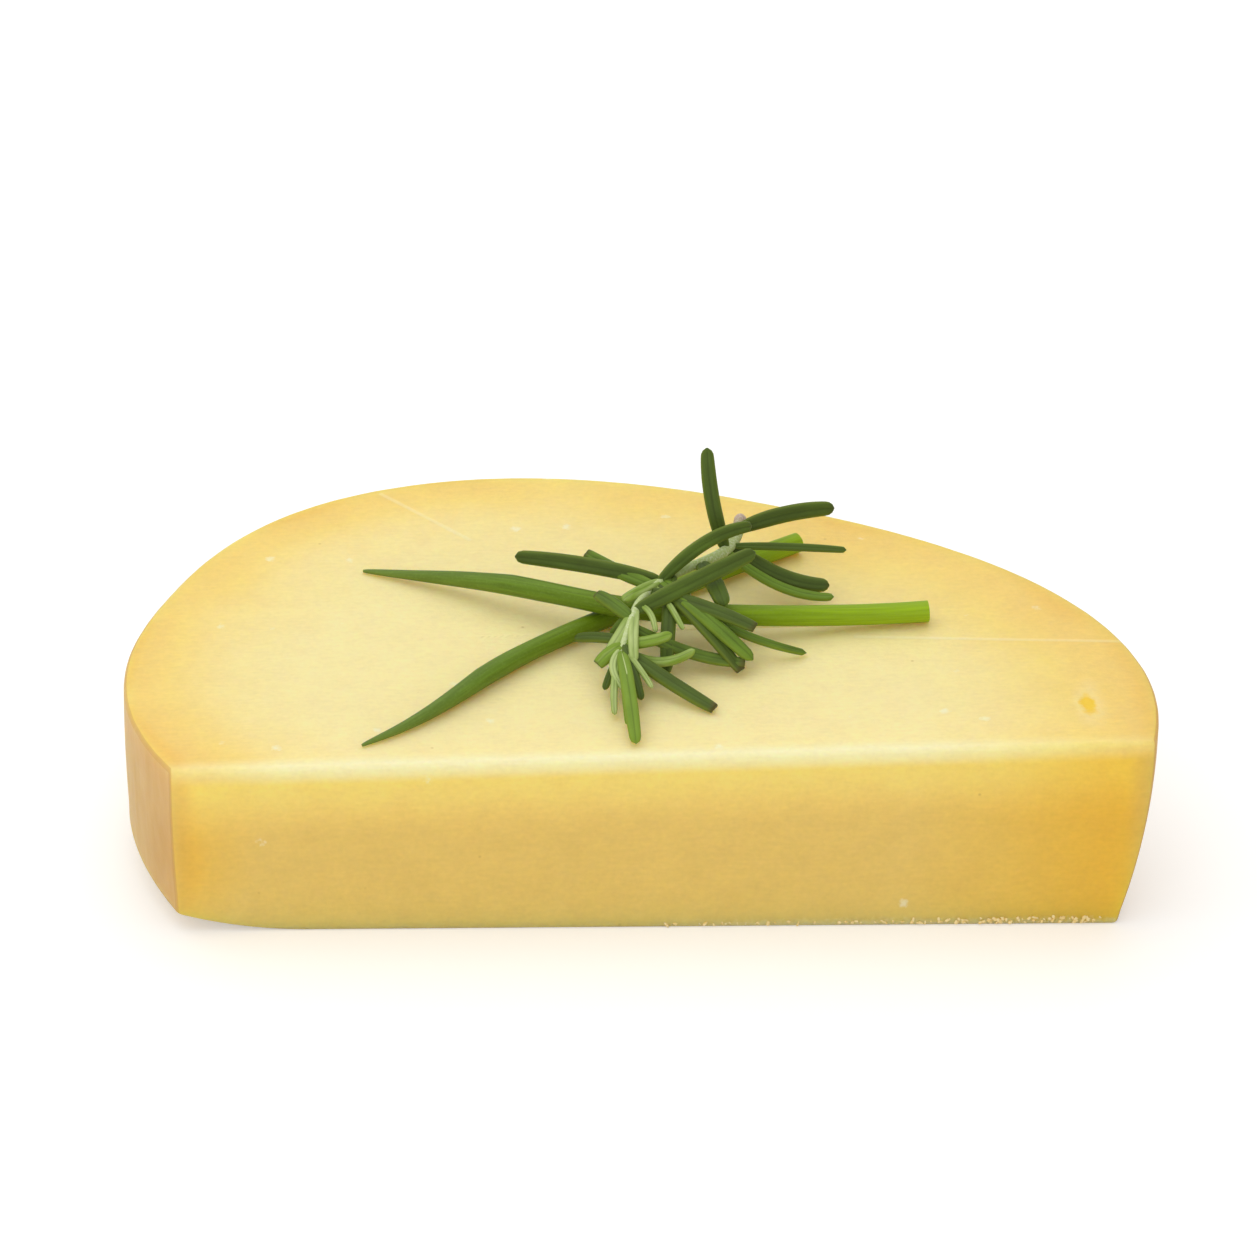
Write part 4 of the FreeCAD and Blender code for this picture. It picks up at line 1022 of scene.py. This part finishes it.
# Its middle line bows from the stem to its tip.
first = add(tree, "ShaderNodeMix", {"data_type": "VECTOR"},
    {0: given["share"], 4: given["base"], 5: given["bowed"]}).outputs[1]
second = add(tree, "ShaderNodeMix", {"data_type": "VECTOR"},
    {0: given["share"], 4: given["bowed"], 5: given["tip"]}).outputs[1]
centre = add(tree, "ShaderNodeMix", {"data_type": "VECTOR"}, {0: given["share"], 4: first, 5: second}).outputs[1]
ahead = add(tree, "ShaderNodeVectorMath", {"operation": "SUBTRACT"}, {0: second, 1: first})
ahead = add(tree, "ShaderNodeVectorMath", {"operation": "NORMALIZE"}, {0: ahead})
sideways = add(tree, "ShaderNodeVectorMath", {"operation": "CROSS_PRODUCT"}, {0: given["upward"], 1: ahead})
sideways = add(tree, "ShaderNodeVectorMath", {"operation": "NORMALIZE"}, {0: sideways})
upper = add(tree, "ShaderNodeVectorMath", {"operation": "CROSS_PRODUCT"}, {0: ahead, 1: sideways})

# It is evenly broad, narrow at its foot, and blunt at its tip unless it is cut there.
length = add(tree, "ShaderNodeVectorMath", {"operation": "DISTANCE"},
    {0: given["base"], 1: given["tip"]}).outputs["Value"]
taper = add(tree, "ShaderNodeFloatCurve", feeds={"Value": given["share"]})
curve = taper.mapping.curves[0]
curve.points[0].location, curve.points[1].location = (0.0, 0.45), (1.0, 0.72)
for at, wide in ((0.2, 0.93), (0.6, 1.0), (0.9, 0.88)):
    curve.points.new(at, wide)
taper.mapping.update()
blunt = add(tree, "ShaderNodeMath", {"operation": "MULTIPLY"}, {0: size["Breadth"], 1: given["broad"]})
blunt = add(tree, "ShaderNodeMath", {"operation": "DIVIDE"}, {0: blunt, 1: length})
into = add(tree, "ShaderNodeMath", {"operation": "SUBTRACT"}, {0: 1.0, 1: blunt})
into = add(tree, "ShaderNodeMapRange", feeds={0: given["share"], 1: into, 2: 1.0})
into = add(tree, "ShaderNodeMath", {"operation": "POWER"}, {0: into, 1: 2.0})
into = add(tree, "ShaderNodeMath", {"operation": "SUBTRACT"}, {0: 1.0, 1: into})
into = add(tree, "ShaderNodeMath", {"operation": "MAXIMUM"}, {0: into, 1: 0.02})
rounded = add(tree, "ShaderNodeMath", {"operation": "SQRT"}, {0: into})
squared = add(tree, "ShaderNodeMath", {"operation": "GREATER_THAN"}, {0: given["cut"], 1: 0.65})
ended = add(tree, "ShaderNodeMix", {"data_type": "FLOAT"}, {0: squared, 2: rounded, 3: 1.0})
taper = add(tree, "ShaderNodeMath", {"operation": "MULTIPLY"}, {0: taper, 1: ended})
half = add(tree, "ShaderNodeMath", {"operation": "MULTIPLY"}, {0: size["Breadth"], 1: given["broad"]})
half = add(tree, "ShaderNodeMath", {"operation": "MULTIPLY"}, {0: half, 1: taper})
half = add(tree, "ShaderNodeMath", {"operation": "MULTIPLY"}, {0: half, 1: given["across"]})
thick = add(tree, "ShaderNodeMath", {"operation": "SQRT"}, {0: given["broad"]})
thick = add(tree, "ShaderNodeMath", {"operation": "MULTIPLY"}, {0: thick, 1: size["Thickness"]})
thick = add(tree, "ShaderNodeMath", {"operation": "MULTIPLY"}, {0: thick, 1: taper})
thick = add(tree, "ShaderNodeMath", {"operation": "MULTIPLY"}, {0: thick, 1: given["lift"]})
run = add(tree, "ShaderNodeMath", {"operation": "MULTIPLY"}, {0: given["share"], 1: length})
run = add(tree, "ShaderNodeMath", {"operation": "MULTIPLY_ADD"}, {0: given["number"], 1: PATTERN_APART * MM, 2: run})
laid = add(tree, "ShaderNodeCombineXYZ", feeds={0: half, 1: thick, 2: run})
laid = add(tree, "ShaderNodeVectorMath", {"operation": "SCALE"}, {0: laid, "Scale": 1 / MM})
blade = add(tree, "GeometryNodeStoreNamedAttribute", {"data_type": "FLOAT_VECTOR"},
    {"Geometry": blade, "Name": "laid", "Value": laid})
out = add(tree, "ShaderNodeVectorMath", {"operation": "SCALE"}, {0: sideways, "Scale": half})
up = add(tree, "ShaderNodeVectorMath", {"operation": "SCALE"}, {0: upper, "Scale": thick})
centre = add(tree, "ShaderNodeVectorMath", feeds={0: centre, 1: out})
centre = add(tree, "ShaderNodeVectorMath", feeds={0: centre, 1: up})
blade = add(tree, "GeometryNodeSetPosition", feeds={"Geometry": blade, "Position": centre})
blade = add(tree, "GeometryNodeSetShadeSmooth", feeds={0: blade})
blade = add(tree, "GeometryNodeSetMaterial", feeds={"Geometry": blade, "Material": rosemary_leaf})
add(tree, "NodeGroupOutput", feeds={0: blade})

feet, tips, bows, facing, breadths, ages, cut_ends = [], [], [], [], [], [], []
for along, across, back_by, height, rise, aside, broad, lean, youth, cut_end in LEAVES:
    base, tip = stem_line[int(round(along * STEM_STEPS))], np.array([across, back_by, height])
    leftward = np.cross([0, 0, 1], tip - base)
    leftward = leftward / np.linalg.norm(leftward)
    feet.append(base)
    tips.append(tip)
    bows.append((base + tip) / 2 + np.array([0, 0, 2 * rise]) + leftward * 2 * aside)
    facing.append(np.array([0, -lean, 1 - lean]))
    breadths.append(broad / 2)
    ages.append(youth)
    cut_ends.append(cut_end)
values = {"tip": on_top(tips) * MM, "bowed": on_top(bows) * MM, "upward": on_top(facing) - on_top([(0, 0, 0)])}
values |= {"broad": breadths, "youth": ages, "cut": cut_ends, "number": range(len(LEAVES))}
sizes = {"Breadth": LEAF_BREADTH * MM, "Thickness": LEAF_THICKNESS * MM}
leaves = made_by(tree, "rosemary_leaves", (on_top(feet) * MM).tolist(), [], [], sizes, values)
bpy.data.objects.remove(leaf_pattern)
for piece in (stem, leaves):
    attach(piece, "root")
    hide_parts("rosemary_sprig")
